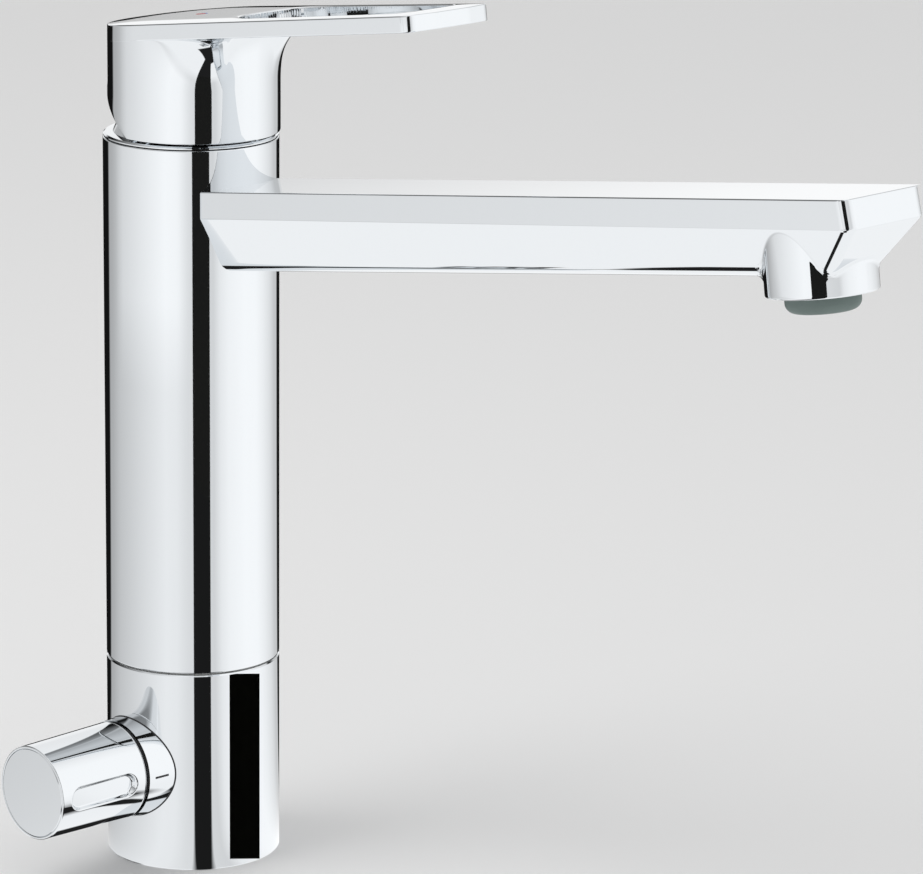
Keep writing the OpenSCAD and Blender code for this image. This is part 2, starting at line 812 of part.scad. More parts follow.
// Side view of the spout: leaning end, slanted lower end, cut edge and rising underside
module spout_side() {
    tip_x = spout_len - spout_slant;
    crease = [spout_len, -spout_side_h];
    tip = [tip_x, keel_rise * tip_x - spout_root_depth];
    root = [0, -spout_root_depth];
    polygon(concat(
        [[0, 0], [spout_len - spout_lean, 0], crease],
        corner_cut(crease, tip, root, spout_edge_r),
        [root]));
}

// Half of the keel's cross-section: underside, rounded edge and slanted flank
module keel_section() {
    far = 3 * spout_w;
    rounded_polygon(
        [[-far, 0], [0, 0], [far * tan(spout_flank), far], [-far, far]],
        [0, spout_edge_r, 0, 0]);
}

// Everything above the underside and inside one flank
module keel_limit() {
    translate([-spout_w, keel_half - spout_w * keel_spread, -spout_root_depth - spout_w * keel_rise])
        rotate([0, -atan(keel_rise), 0])
            rotate([0, 0, atan(keel_spread)])
                rotate([90, 0, 90]) linear_extrude(spout_len + 3 * spout_w) keel_section();
}

// Boat-shaped outer form of the spout
module spout_hull() {
    intersection() {
        translate([0, 0, -spout_root_depth - 1]) linear_extrude(spout_root_depth + 2) spout_plan();
        rotate([90, 0, 0])
            translate([0, 0, -spout_w]) linear_extrude(2 * spout_w) spout_side();
        keel_limit();
        mirror([0, 1, 0]) keel_limit();
    }
}

// Water channel inside the spout, one wall away from its faces
module spout_channel() {
    half = spout_half - spout_wall;
    crease = spout_side_h - spout_wall * tan(spout_flank / 2);
    low = half - (channel_depth - crease) * tan(spout_flank);
    translate([chamber_r, 0, 0])
        rotate([90, 0, 90])
            linear_extrude(channel_end - chamber_r)
                polygon([
                    [-half, -spout_wall], [half, -spout_wall], [half, -crease],
                    [low, -channel_depth], [-low, -channel_depth], [-half, -crease]
                ]);
}

// Swivel sleeve and hollow spout in one casting
module spout_sleeve() {
    color("silver")
        difference() {
            union() {
                edged_tube(body_r, sleeve_bore, sleeve_z, sleeve_top - sleeve_z, edge_chamfer);
                difference() {
                    spout_frame() {
                        spout_hull();
                        translate([spout_reach, 0, -boss_drop])
                            cylinder(r = boss_r, h = boss_drop - spout_wall);
                    }
                    translate([0, 0, sleeve_z]) cylinder(r = sleeve_bore + 1, h = sleeve_top);
                }
                intersection() {
                    translate([-sleeve_bore - 1, -lug_w / 2, stop_ring_z + 0.5])
                        cube([body_r, lug_w, stop_ring_h - 1]);
                    tube(sleeve_bore + 1, lug_r, stop_ring_z, stop_ring_h);
                }
            }
            translate([0, 0, sleeve_z - 1])
                cylinder(r = glide_flange_r + free, h = base_h + glide_flange_h + fit - sleeve_z + 1);
            spout_frame() {
                spout_channel();
                translate([spout_reach, 0, -boss_drop - 1])
                    cylinder(r = aerator_r, h = aerator_depth + 1);
            }
        }
}

// Plastic housing of the aerator, screwed into the boss
module aerator_housing() {
    thread_len = aerator_depth - 2.2;
    color("darkseagreen")
        spout_frame()
            translate([spout_reach, 0, -boss_drop])
                rotate_extrude()
                    difference() {
                        union() {
                            translate([0, 0]) square([aerator_r - fit, thread_len]);
                            translate([0, -insert_out + insert_edge_r])
                                square([insert_r, insert_out - insert_edge_r + eps]);
                            translate([0, -insert_out]) square([insert_r - insert_edge_r, insert_edge_r]);
                            translate([insert_r - insert_edge_r, -insert_out + insert_edge_r])
                                circle(insert_edge_r);
                        }
                        translate([-insert_r, -insert_out - 1]) square([insert_r, aerator_depth + 10]);
                        translate([0, -insert_out - 1]) square([insert_r - 2.4, 2.2]);
                        translate([0, -insert_out + 3]) square([insert_r - 1.6, aerator_depth + 4]);
                        translate([0, -insert_out]) square([insert_r - 3.4, 5]);
                    }
}

// Perforated disc that breaks up the jet, inside the housing
module aerator_screen() {
    screen_r = insert_r - 1.6 - fit;
    color("lightgray")
        spout_frame()
            translate([spout_reach, 0, -boss_drop - insert_out + 3 + fit])
                difference() {
                    cylinder(r = screen_r, h = 1.6);
                    for (ring = [1:2], k = [0:6 * ring - 1])
                        rotate([0, 0, k * 60 / ring])
                            translate([ring * screen_r / 2.7, 0, -1]) cylinder(r = 0.8, h = 4, $fn = 16);
                }
}

// Flat washer between the aerator and its socket's end
module aerator_seal() {
    color("dimgray")
        spout_frame()
            translate([spout_reach, 0, -boss_drop + aerator_depth - 2.1])
                tube(aerator_r - fit, aerator_r - 2.2, 0, 2);
}

// Turning carrier of the cartridge, with ribs that turn the discs
module lever_carrier() {
    slot = spindle_w / 2;
    color("gainsboro")
        difference() {
            union() {
                translate([0, 0, carrier_z]) cylinder(r = neck_bore - run, h = carrier_t);
                translate([0, 0, carrier_z]) cylinder(r = carrier_r, h = carrier_top - carrier_z);
                difference() {
                    translate([0, 0, disc_z + free])
                        cylinder(r = neck_bore - run, h = carrier_z - disc_z);
                    translate([-body_r, -disc_flat - free, disc_z])
                        cube([body_d, 2 * (disc_flat + free), carrier_z - disc_z]);
                }
            }
            translate([-slot - 2.2, -3 - free, carrier_z + 2])
                cube([2 * slot + 3.2, 2 * (3 + free), carrier_top]);
            translate([-ball_r - 0.6, -3 - free, carrier_z - 1])
                cube([2 * ball_r + 1.2 + stroke, 2 * (3 + free), carrier_t + 1]);
            translate([0, 0, pivot_z])
                rotate([90, 0, 0])
                    translate([0, 0, -carrier_r]) cylinder(r = pin_r + fit, h = 2 * carrier_r);
        }
}

// Steel pin on which the spindle tilts
module pivot_pin() {
    color("lightgray")
        translate([0, 0, pivot_z])
            rotate([90, 0, 0])
                translate([0, 0, -carrier_r + 0.8]) cylinder(r = pin_r, h = 2 * carrier_r - 1.6);
}

// Outline of the discs that slide in the carrier
module disc_outline() {
    intersection() {
        circle(moving_disc_r);
        square([3 * moving_disc_r, 2 * disc_flat], center = true);
    }
}

// Moving ceramic disc, with the mixing pocket in its underside
module moving_disc() {
    color("white")
        translate([-stroke / 2, 0, moving_z])
            difference() {
                linear_extrude(moving_disc_t) disc_outline();
                translate([0, 0, -1]) cylinder(r = disc_flat - 1.6, h = 2.4);
            }
}

// Plastic driver on the moving disc, with the ball's pocket
module disc_driver() {
    color("ivory")
        difference() {
            translate([-stroke / 2, 0, driver_z]) linear_extrude(driver_t) disc_outline();
            translate([0, 0, ball_z - ball_r - free]) cylinder(r = ball_r + free, h = driver_t + 1);
        }
}

// Spindle that carries the lever and tilts on the pin
module spindle() {
    color("lightgray")
        difference() {
            union() {
                translate([-spindle_w / 2, -3, pivot_z - 3]) cube([spindle_w, 6, spindle_top + 3]);
                translate([0, 0, ball_z]) sphere(ball_r);
                translate([0, 0, ball_z]) cylinder(r = ball_r * 0.75, h = ball_arm - 2);
            }
            translate([0, spindle_w, pivot_z])
                rotate([90, 0, 0]) cylinder(r = pin_r + run, h = 2 * spindle_w);
        }
}

// Plan of the lever in the arm's own plane: round head and tapered arm with a bowed end
module lever_plan(inset = 0) {
    r = head_r - inset;
    tip = arm_len - inset;
    corner_x = tip - arm_bow;
    corner_y = arm_half(corner_x) - inset;
    bow_y = corner_y * 0.4;
    start = [head_shift + r * sin(arm_taper), r * cos(arm_taper)];
    translate([head_shift, 0]) circle(r);
    rounded_polygon(
        [[start[0], -start[1]], [corner_x, -corner_y], [tip, -bow_y],
         [tip, bow_y], [corner_x, corner_y], start],
        [0, arm_corner_r - inset, 0, 0, arm_corner_r - inset, 0]);
}

// Plan of the loop opening, parallel to the arm's sides
module loop_plan() {
    x1 = arm_len - loop_tip;
    half0 = arm_half(loop_start) - loop_rim;
    half1 = arm_half(x1) - loop_rim;
    rounded_polygon(
        [[loop_start, -half0], [x1, -half1], [x1, half1], [loop_start, half0]],
        [loop_back_r, loop_front_r, loop_front_r, loop_back_r]);
}

// Everything under the lever's top face and above the bevel at the head's back
module lever_limits() {
    difference() {
        arm_frame()
            translate([-2 * body_d, -body_d, -4 * body_d]) cube([6 * body_d, 2 * body_d, 4 * body_d]);
        translate([bevel_start, 0, head_z])
            rotate([0, bevel, 0]) translate([-3 * body_d, -body_d, -3 * body_d])
                cube([3 * body_d, 2 * body_d, 3 * body_d]);
    }
}

// Hollow lever head with its loop-shaped arm
module lever() {
    flare_z = top_z + (head_shift + head_r) * tan(lever_rise) - arm_t - flare_r;
    color("silver")
        difference() {
            intersection() {
                union() {
                    translate([head_shift, 0, head_z]) cylinder(r = head_r, h = 2 * head_h);
                    arm_frame() translate([0, 0, -arm_t]) linear_extrude(arm_t) lever_plan();
                    intersection() {
                        translate([head_shift, 0, flare_z])
                            rotate_extrude()
                                difference() {
                                    translate([head_r - 1, 0]) square([flare_r + 1, flare_r + 1]);
                                    translate([head_r + flare_r, 0]) circle(flare_r);
                                }
                        arm_frame() translate([0, 0, -arm_t - flare_r])
                            linear_extrude(arm_t + flare_r) lever_plan(0.4);
                    }
                }
                lever_limits();
            }
            arm_frame() translate([0, 0, -arm_t - flare_r]) linear_extrude(arm_t + 2 * flare_r) loop_plan();
            difference() {
                translate([head_shift, 0, head_z - 1]) cylinder(r = head_bore, h = roof_z - head_z + 1);
                translate([0, 0, hub_z]) cylinder(r = hub_r, h = head_h);
            }
            translate([-spindle_w / 2 - fit, -3 - fit, hub_z - 1])
                cube([spindle_w + 2 * fit, 6 + 2 * fit, socket_top - hub_z + 1]);
            translate([0, 0, screw_z]) rotate([0, -90, 0]) cylinder(r = set_screw_r + fit, h = body_d);
            translate([head_shift - head_r + cover_depth, 0, screw_z])
                rotate([0, -90, 0]) cylinder(r = cover_r + fit, h = body_d);
            arm_frame() translate([index_x, 0, -index_depth]) cylinder(r = index_r + fit, h = 2);
        }
}

// Socket screw that clamps the lever on the spindle
module set_screw() {
    color("dimgray")
        translate([-spindle_w / 2 - 2 * fit, 0, screw_z])
            rotate([0, -90, 0])
                difference() {
                    cylinder(r = set_screw_r, h = set_screw_len);
                    translate([0, 0, set_screw_len - 2.5]) cylinder(r = 1.4, h = 4, $fn = 6);
                }
}

// Small plug over the set screw at the head's back
module screw_cover() {
    color("silver")
        intersection() {
            translate([0, 0, screw_z])
                rotate([0, -90, 0])
                    translate([0, 0, head_r - head_shift - cover_depth + fit]) cylinder(r = cover_r, h = head_r);
            translate([head_shift, 0, head_z]) cylinder(r = head_r, h = head_h);
        }
}

// Half of the round index dot in the lever's top face
module index_half(side) {
    arm_frame()
        translate([index_x, 0, -index_depth + fit])
            intersection() {
                cylinder(r = index_r, h = index_depth - fit);
                translate([-index_r - 1, side > 0 ? fit / 2 : -index_r - 1 - fit / 2, -1])
                    cube([2 * index_r + 2, index_r + 1, index_depth + 2]);
            }
}
module hot_mark() {
    color("red") index_half(-1);
}
module cold_mark() {
    color("blue") index_half(1);
}

base_body();
deck_gasket();
riser_column();
riser_seals();
lower_glide_ring();
swivel_stop();
lower_lip_seal();
upper_lip_seal();
upper_glide_ring();
port_seals();
cartridge_base();
cartridge_housing();
fixed_disc();
cartridge_nut();
cap_ring();
valve_headpart();
headpart_seal();
valve_fixed_disc();
valve_collar();
groove_ring();
spout_sleeve();
aerator_housing();
aerator_screen();
aerator_seal();
lever_carrier();
pivot_pin();
moving_disc();
disc_driver();
lever();
spindle();
set_screw();
screw_cover();
hot_mark();
cold_mark();
stop_knob();
knob_screw();
knob_cap();
valve_spindle();
turning_disc();
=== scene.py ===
"""Dresses the kitchen mixer tap's frame: modelled chrome pieces, finishes, studio and camera."""

import json
import math

import bmesh
import bpy
from bpy.props import FloatProperty, FloatVectorProperty, PointerProperty
from mathutils import Matrix, Vector
from mathutils.bvhtree import BVHTree


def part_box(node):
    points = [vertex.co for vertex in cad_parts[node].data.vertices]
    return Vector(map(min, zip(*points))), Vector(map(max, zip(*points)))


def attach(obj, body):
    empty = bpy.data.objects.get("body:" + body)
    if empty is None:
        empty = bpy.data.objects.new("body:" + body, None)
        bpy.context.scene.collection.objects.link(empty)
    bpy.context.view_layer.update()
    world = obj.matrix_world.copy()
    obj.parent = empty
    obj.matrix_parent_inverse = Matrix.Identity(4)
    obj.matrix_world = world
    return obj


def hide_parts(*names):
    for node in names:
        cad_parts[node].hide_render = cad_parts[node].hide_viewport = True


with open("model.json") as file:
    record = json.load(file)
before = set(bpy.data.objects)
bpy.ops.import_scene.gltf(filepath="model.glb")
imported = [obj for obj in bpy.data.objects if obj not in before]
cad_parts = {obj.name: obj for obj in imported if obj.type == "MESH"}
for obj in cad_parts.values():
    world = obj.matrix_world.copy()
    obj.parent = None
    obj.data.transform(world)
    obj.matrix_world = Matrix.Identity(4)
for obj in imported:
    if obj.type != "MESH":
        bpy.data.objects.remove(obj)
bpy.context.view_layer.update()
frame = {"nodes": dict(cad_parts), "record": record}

bl_info = {
    "name": "Kitchen Mixer Tap",
    "version": (1, 0, 0),
    "blender": (4, 5, 0),
    "location": "3D View > Sidebar > Mixer Tap",
    "description": "Modelled pieces, finishes and a studio for a kitchen mixer tap",
    "category": "Object",
}

MM = 0.001

KNOB_LOW, KNOB_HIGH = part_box("stop_knob")
DOT_LOW, DOT_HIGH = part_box("hot_mark")
PLUG_LOW, PLUG_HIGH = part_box("screw_cover")
BODY_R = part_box("base_body")[1][0]
ROOT_R = BODY_R - 1.2 * MM
SLEEVE_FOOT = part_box("spout_sleeve")[0][2]
SLEEVE_TOP = 194.2 * MM
COLLAR_END = -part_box("valve_collar")[0][1]
VALVE_Z = (KNOB_LOW[2] + KNOB_HIGH[2]) / 2


def size(name, description, default):
    """A size in metres, given here in millimetres."""
    return FloatProperty(
        name=name, description=description, default=default * MM, unit="LENGTH", precision=5
    )


def angle(name, description, default):
    """An angle in radians, given here in degrees."""
    return FloatProperty(
        name=name, description=description, default=math.radians(default), subtype="ANGLE"
    )


def colour(name, description, default):
    """A linear colour."""
    return FloatVectorProperty(
        name=name, description=description, default=default, size=3, min=0, max=1, subtype="COLOR"
    )


def share(name, description, default):
    """A plain factor."""
    return FloatProperty(name=name, description=description, default=default, min=0)


def spot(name, description, default):
    """A place in the scene, in metres."""
    return FloatVectorProperty(
        name=name, description=description, default=default, size=3, subtype="TRANSLATION"
    )


# Tones that the chrome mirrors, as degrees around the tap and brightness: all round, and in a dark band above
TONES = [
    (-180, 0.48), (-168, 0.52), (-150, 0.68), (-128, 0.78), (-104, 0.9), (-76, 1.04),
    (-62, 1.02), (-48, 0.9), (-14, 0.82), (-5, 1.02), (6, 1.12), (30, 1.19), (50, 1.18),
    (64, 1.08), (80, 0.92), (94, 0.7), (180, 0.48),
]
SKY_TONES = [
    (-180, 0.02), (-143, 0.02), (-136, 0.9), (-124, 0.35), (-54, 0.35), (-44, 1), (86, 1),
    (89, 0.04), (93, 0.04), (99, 0.95), (142, 0.95), (152, 0.02), (180, 0.02),
]

# Lines that bound the floor's dark strip, each a start and a direction in degrees, and the card behind it
STRIP_LEFT = ((0.0172, -0.0153, 0), -41)
STRIP_RIGHT = ((0.0203, -0.0109, 0), -18.6)
STRIP_END = ((0.3339, -0.2888, 0), 73.8)
CARD_FOOT = [(0.331, -0.288), (0.3766, -0.131)]

# Painted shadow: dark patches on the floor that steep reflected rays see under the knob and under the spout,
# as axis, start, end and softness
PAINTED_SHADOW_PATCHES = [
    ("X", -0.018, 0.004, 0.001), ("Y", -0.064, -0.02, 0.003),
    ("X", 0.03, 0.2, 0.004), ("Y", -0.12, -0.004, 0.003),
]

BOSS_COLUMNS = 180
QUARTER = [math.radians(part) for part in (0, 22.5, 45, 67.5, 90)]


class TapSpout(bpy.types.PropertyGroup):
    """Sizes of the swivel sleeve, the spout and its outlet boss."""

    top_z: size("Root height", "Height of the spout's top face on the body's axis", 180.9)
    rise: angle("Rise", "Rise of the spout above the horizontal", 8.1)
    reach: size("Reach", "Distance along the spout to the outlet's axis", 216.8)
    nose: size("Nose", "Distance from the outlet's axis to the crease across the end", 21.8)
    width: size("Width", "Width of the spout", 27.2)
    root_depth: size("Root depth", "Depth of the spout on the body's axis", 21.9)
    tip_depth: size("Tip depth", "Depth of the spout at its end", 18.5)
    side_h: size("Side height", "Height of the upright side faces", 7)
    flank: angle("Flank", "Slope of the lower side faces from the upright", 20.5)
    slant: size("Slant", "How far the end's lower face slants back", 11.5)
    lean: size("Lean", "How far the end's upright face leans out", 0.8)
    keel_r: size("Keel rounding", "Radius of the rounded lower edges", 4.2)
    corner_r: size("Corner rounding", "Radius of the corners at the end", 3.1)
    crease_r: size("Crease rounding", "Radius of the crease between side and flank", 0.8)
    edge_r: size("Edge rounding", "Radius of the top edges", 0.4)
    boss_r: size("Boss radius", "Radius of the outlet boss", 13.4)
    boss_drop: size("Boss drop", "Distance from the top face to the boss's lower end", 23.5)
    boss_blend: size("Boss blend", "Radius of the blend between spout and boss", 2.6)
    socket_r: size("Socket radius", "Radius of the aerator's socket", 9.6)
    sleeve_edge: size("Sleeve edge", "Radius of the sleeve's edges", 0.35)
    bore: size("Bore radius", "Radius of the sleeve's bore", 20.5)


class TapLever(bpy.types.PropertyGroup):
    """Sizes of the lever."""

    low_z: size("Lower edge", "Height of the head's lower edge", 195.8)
    top_z: size("Top", "Height of the top face on the body's axis", 225.9)
    rise: angle("Rise", "Rise of the top face above the horizontal", 8)
    head_r: size("Head radius", "Radius of the head", 22.5)
    shift: size("Head offset", "Offset of the head towards the spout", 1.2)
    wall: size("Head wall", "Wall of the hollow head", 1.7)
    bevel: angle("Bevel", "Slope of the bevel at the head's back", 34)
    roof_z: size("Roof", "Height of the hollow's roof", 216.02)
    hub_r: size("Hub radius", "Radius of the hub that holds the spindle", 6.8)
    hub_z: size("Hub height", "Height of the hub's lower end", 213.42)
    arm_t: size("Arm thickness", "Thickness of the arm", 4.6)
    arm_len: size("Arm length", "Distance along the arm from the axis to its tip", 96.5)
    taper: angle("Taper", "Taper of the arm's sides", 5)
    bow: size("Bow", "How far the arm's end bows out", 1.1)
    corner_r: size("Corner radius", "Radius of the arm's corners", 3.2)
    loop_start: size("Loop start", "Distance along the arm to the opening", 26.8)
    loop_rim: size("Loop rim", "Width of the rim beside the opening", 4.6)
    loop_tip: size("Loop tip", "Width of the rim at the tip", 6.6)
    back_r: size("Back corners", "Radius of the opening's corners next to the head", 12.6)
    front_r: size("Front corners", "Radius of the opening's corners next to the tip", 5)
    flare_h: size("Flare height", "Height of the flare between head and arm", 14.5)
    flare_out: size("Flare reach", "How far the flare reaches out under the arm", 11)
    edge: size("Edge rounding", "Radius of the rounding along the top edge", 0.32)
    fine_edge: size("Fine rounding", "Radius of the other edges", 0.35)
    crown: size("Crown", "How far the top face falls towards its edge", 0.45)
    crown_w: size("Crown width", "Width of the fall along the edge", 9)


class TapValve(bpy.types.PropertyGroup):
    """Sizes of the stop valve's knob and of the mark on its collar."""

    root_r: size("Root radius", "Radius of the knob next to the collar", 13)
    face_r: size("Face radius", "Radius of the knob at its end face", 12.5)
    cap_r: size("Cap socket", "Radius of the socket for the end cap", 11.85)
    edge: size("Edge rounding", "Radius of the knob's edges", 0.3)
    recess_w: size("Recess width", "Width of the thumb recess", 6)
    recess_len: size("Recess length", "Length of the thumb recess", 21.5)
    recess_depth: size("Recess depth", "Depth of the thumb recess", 1.5)
    recess_inset: size("Recess inset", "Distance from the end face to the recess", 3.4)
    recess_soft: size("Recess edge", "Width of the recess's rolled edge", 0.7)
    collar_root: size("Collar root radius", "Radius of the collar's cone on the body's axis", 14.4)
    collar_end: size("Collar end radius", "Radius of the collar's cone at its outer end", 13.2)
    seam: size("Seam", "Radius of the dark seam between collar and body", 0.22)
    seam_gap: size("Top gap", "Height of the gap between the sleeve and the ring over it", 0.3)
    seam_depth: size("Seam depth", "How far the seam lies behind the sleeve's wall", 0.5)
    seam_play: size("Seam play", "Room above and below the seam on top of the sleeve", 0.06)
    mark_len: size("Mark length", "Length of the index mark on the collar", 4.4)
    mark_w: size("Mark width", "Width of the index mark on the collar", 0.55)
    mark_inset: size("Mark inset", "Distance from the collar's outer end to the mark's middle", 4.1)
    mark_turn: angle("Mark turn", "Turn of the index mark above the level of the valve's axis", 1)


class TapFinishes(bpy.types.PropertyGroup):
    """Colours and gloss of the tap's materials."""

    chrome: colour("Chrome", "Reflected colour of the chrome plating", (0.765, 0.79, 0.812))
    brass: colour("Brass", "Colour of the machined brass", (0.38, 0.265, 0.115))
    steel: colour("Steel", "Colour of the stainless steel", (0.56, 0.56, 0.55))
    black_rubber: colour("Rubber", "Colour of the seals", (0.02, 0.02, 0.02))
    glide_plastic: colour("Glide rings", "Colour of the glide rings", (0.8, 0.8, 0.77))
    dark_plastic: colour("Dark plastic", "Colour of the groove beside the collar", (0.012, 0.012, 0.013))
    cartridge_plastic: colour("Cartridge", "Colour of the cartridge's mouldings", (0.8, 0.78, 0.7))
    ceramic: colour("Ceramic", "Colour of the lapped discs", (0.86, 0.86, 0.83))
    aerator_plastic: colour("Aerator", "Colour of the aerator's insert", (0.22, 0.28, 0.265))
    hot_red: colour("Hot mark", "Colour of the hot half of the index dot", (0.42, 0.02, 0.02))
    cold_blue: colour("Cold mark", "Colour of the cold half of the index dot", (0.02, 0.07, 0.42))


class TapStage(bpy.types.PropertyGroup):
    """The floor, the light and the camera."""

    floor: colour("Floor", "Colour of the floor", (0.84, 0.84, 0.84))
    fill: share("Fill", "Strength of the surroundings that light the tap", 0.72)
    key: FloatProperty(name="Key lamp", description="Power of the large lamp", default=7, unit="POWER")
    lens: FloatProperty(name="Lens", description="Focal length in millimetres", default=196.008)
    lamp_place: spot("Key lamp's place", "Place of the large lamp", (-0.35, -0.75, 1.3))
    lamp_aim: spot("Key lamp's aim", "Point that the large lamp faces", (0, 0, 0.1))
    lamp_size: size("Key lamp's size", "Width of the large lamp", 900)
    place: spot("Camera", "Place of the camera", (0.95971, -0.86075, 0.44197))
    yaw: angle("Yaw", "Direction of the view around the tap", 134.9467)
    pitch: angle("Pitch", "Downward tilt of the view", 14.3121)
    roll: angle("Roll", "Turn of the view about its own axis", 0.5564)


def settings(name):
    """The property group of that name on the scene."""
    return getattr(bpy.context.scene, name)


def spin(point, turn):
    """A 2D point turned about the origin."""
    return Vector((
        point[0] * math.cos(turn) - point[1] * math.sin(turn),
        point[0] * math.sin(turn) + point[1] * math.cos(turn),
    ))


def arc(centre, radius, start, end, steps):
    """Points along an arc, angles in radians."""
    return [
        Vector((
            centre[0] + radius * math.cos(start + (end - start) * i / steps),
            centre[1] + radius * math.sin(start + (end - start) * i / steps),
        ))
        for i in range(steps + 1)
    ]


def rounded(points, radii, step=math.radians(3)):
    """A closed outline whose corners are arcs of the given radii."""
    outline = []
    count = len(points)
    for i, (corner, radius) in enumerate(zip(points, radii)):
        corner = Vector(corner)
        back = (Vector(points[i - 1]) - corner).normalized()
        ahead = (Vector(points[(i + 1) % count]) - corner).normalized()
        if radius == 0:
            outline.append(corner)
            continue
        half = math.acos(max(-1, min(1, back.dot(ahead)))) / 2
        centre = corner + (back + ahead).normalized() * (radius / math.sin(half))
        first = corner + back * (radius / math.tan(half)) - centre
        turn = math.pi - 2 * half
        side = 1 if back.x * ahead.y - back.y * ahead.x < 0 else -1
        steps = max(4, round(turn / step))
        outline += [centre + spin(first, side * turn * k / steps) for k in range(steps + 1)]
    return outline


def even_turns(count):
    """Directions evenly around a full turn, in radians."""
    return [math.tau * i / count for i in range(count)]


def ring(radius, height, turns, shift=0.0):
    """Points around Z at these directions, at one radius or at a list of them."""
    radii = radius if isinstance(radius, list) else [radius] * len(turns)
    return [Vector((shift + r * math.cos(turn), r * math.sin(turn), height)) for r, turn in zip(radii, turns)]


def moved(place, rows):
    """Rows of points taken into another frame."""
    return [[place @ point for point in row] for row in rows]


def mesh_of(name, form, material=None):
    """A mesh of a form, which is done with afterwards."""
    mesh = bpy.data.meshes.new(name)
    form.to_mesh(mesh)
    form.free()
    if material:
        mesh.polygons.foreach_set("use_smooth", [True] * len(mesh.polygons))
        mesh.materials.append(material)
    return mesh


def placed(name, data):
    """A new object of this data in the scene."""
    obj = bpy.data.objects.new(name, data)
    bpy.context.scene.collection.objects.link(obj)
    return obj


def add_piece(name, form, body, slot, *nodes):
    """Makes a piece of a form, with its finish, its body and the nodes it stands for."""
    bmesh.ops.recalc_face_normals(form, faces=form.faces)
    piece = placed(name, mesh_of(name, form, finish(slot)))
    normals = piece.modifiers.new("even_normals", "WEIGHTED_NORMAL")
    normals.mode = "FACE_AREA"
    normals.weight = 100
    normals.thresh = 0.01 * MM
    normals.keep_sharp = True
    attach(piece, body)
    if nodes:
        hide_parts(*nodes)
    return piece


def skin(form, rows, closed_rows=True, closed_ends=False):
    """Joins rows of equal length with four-sided faces."""
    grid = [[form.verts.new(point) for point in row] for row in rows]
    count = len(grid[0])
    spans = len(grid) if closed_ends else len(grid) - 1
    for j in range(spans):
        low = grid[j]
        high = grid[(j + 1) % len(grid)]
        for i in range(count if closed_rows else count - 1):
            k = (i + 1) % count
            form.faces.new((low[i], low[k], high[k], high[i]))
    return grid


def lathe(form, profile, place=Matrix(), steps=192):
    """Turns a closed profile of (radius, height) points about the Z axis of a place."""
    turns = even_turns(steps)
    rows = [ring(radius, height, turns) for radius, height in profile]
    skin(form, moved(place, rows), closed_ends=True)


def softened(profile, radii, step=math.radians(12)):
    """A lathe profile with rounded corners, as plain pairs."""
    return [tuple(point) for point in rounded(profile, radii, step)]


def cut_form(planes, reach):
    """The convex form inside a set of planes, each a point and an outward direction."""
    form = bmesh.new()
    bmesh.ops.create_cube(form, size=reach)
    for point, outward in planes:
        geometry = form.verts[:] + form.edges[:] + form.faces[:]
        cut = bmesh.ops.bisect_plane(
            form, geom=geometry, plane_co=point, plane_no=outward, clear_outer=True, dist=1e-7
        )
        rim = [e for e in cut["geom_cut"] if isinstance(e, bmesh.types.BMEdge)]
        if rim:
            bmesh.ops.edgeloop_fill(form, edges=rim)
    bmesh.ops.recalc_face_normals(form, faces=form.faces)
    return form


def spout_place():
    """The spout's own frame: X along it, Z up from its top face."""
    s = settings("tap_spout")
    return Matrix.Translation((0, 0, s.top_z)) @ Matrix.Rotation(-s.rise, 4, "Y")


def named_planes():
    """The planes that bound the spout, by name, each a point and an outward direction."""
    s = settings("tap_spout")
    end = s.reach + s.nose
    half = s.width / 2
    keel_rise = (s.root_depth - s.tip_depth) / end
    tip = Vector((end - s.slant, 0, keel_rise * (end - s.slant) - s.root_depth))
    crease = Vector((end, 0, -s.side_h))
    root_x = math.sqrt(ROOT_R**2 - half**2) - 1 * MM
    slope = tip - crease
    sides = {
        "top": (Vector((0, 0, 0)), Vector((0, 0, 1))),
        "upright": (crease, Vector((s.side_h, 0, s.lean))),
        "slanted": (crease, Vector((-slope.z, 0, slope.x))),
        "keel": (Vector((0, 0, -s.root_depth)), Vector((keel_rise, 0, -1))),
        "root": (Vector((root_x, 0, 0)), Vector((-1, 0, 0))),
    }
    for name, side in (("left", 1), ("right", -1)):
        sides[name] = (Vector((0, side * half, 0)), Vector((0, side, 0)))
        sides[name + " flank"] = (
            Vector((0, side * half, -s.side_h)),
            Vector((0, side * math.cos(s.flank), -math.sin(s.flank))),
        )
    return {name: (point, outward.normalized()) for name, (point, outward) in sides.items()}


def edge_radius(one, other):
    """Radius of the rounding between two of the spout's faces."""
    s = settings("tap_spout")
    pair = {one, other}
    flanks = {"left flank", "right flank"}
    if "root" in pair:
        return 0
    if "top" in pair:
        return s.edge_r
    if "keel" in pair:
        return s.keel_r if pair & flanks else s.keel_r * 0.7
    if pair & flanks and pair & {"left", "right"}:
        return s.crease_r
    if pair == {"upright", "slanted"}:
        return s.crease_r
    return s.corner_r


def settled_mesh(obj):
    """The object's mesh with its modifiers applied."""
    graph = bpy.context.evaluated_depsgraph_get()
    return bpy.data.meshes.new_from_object(obj.evaluated_get(graph))


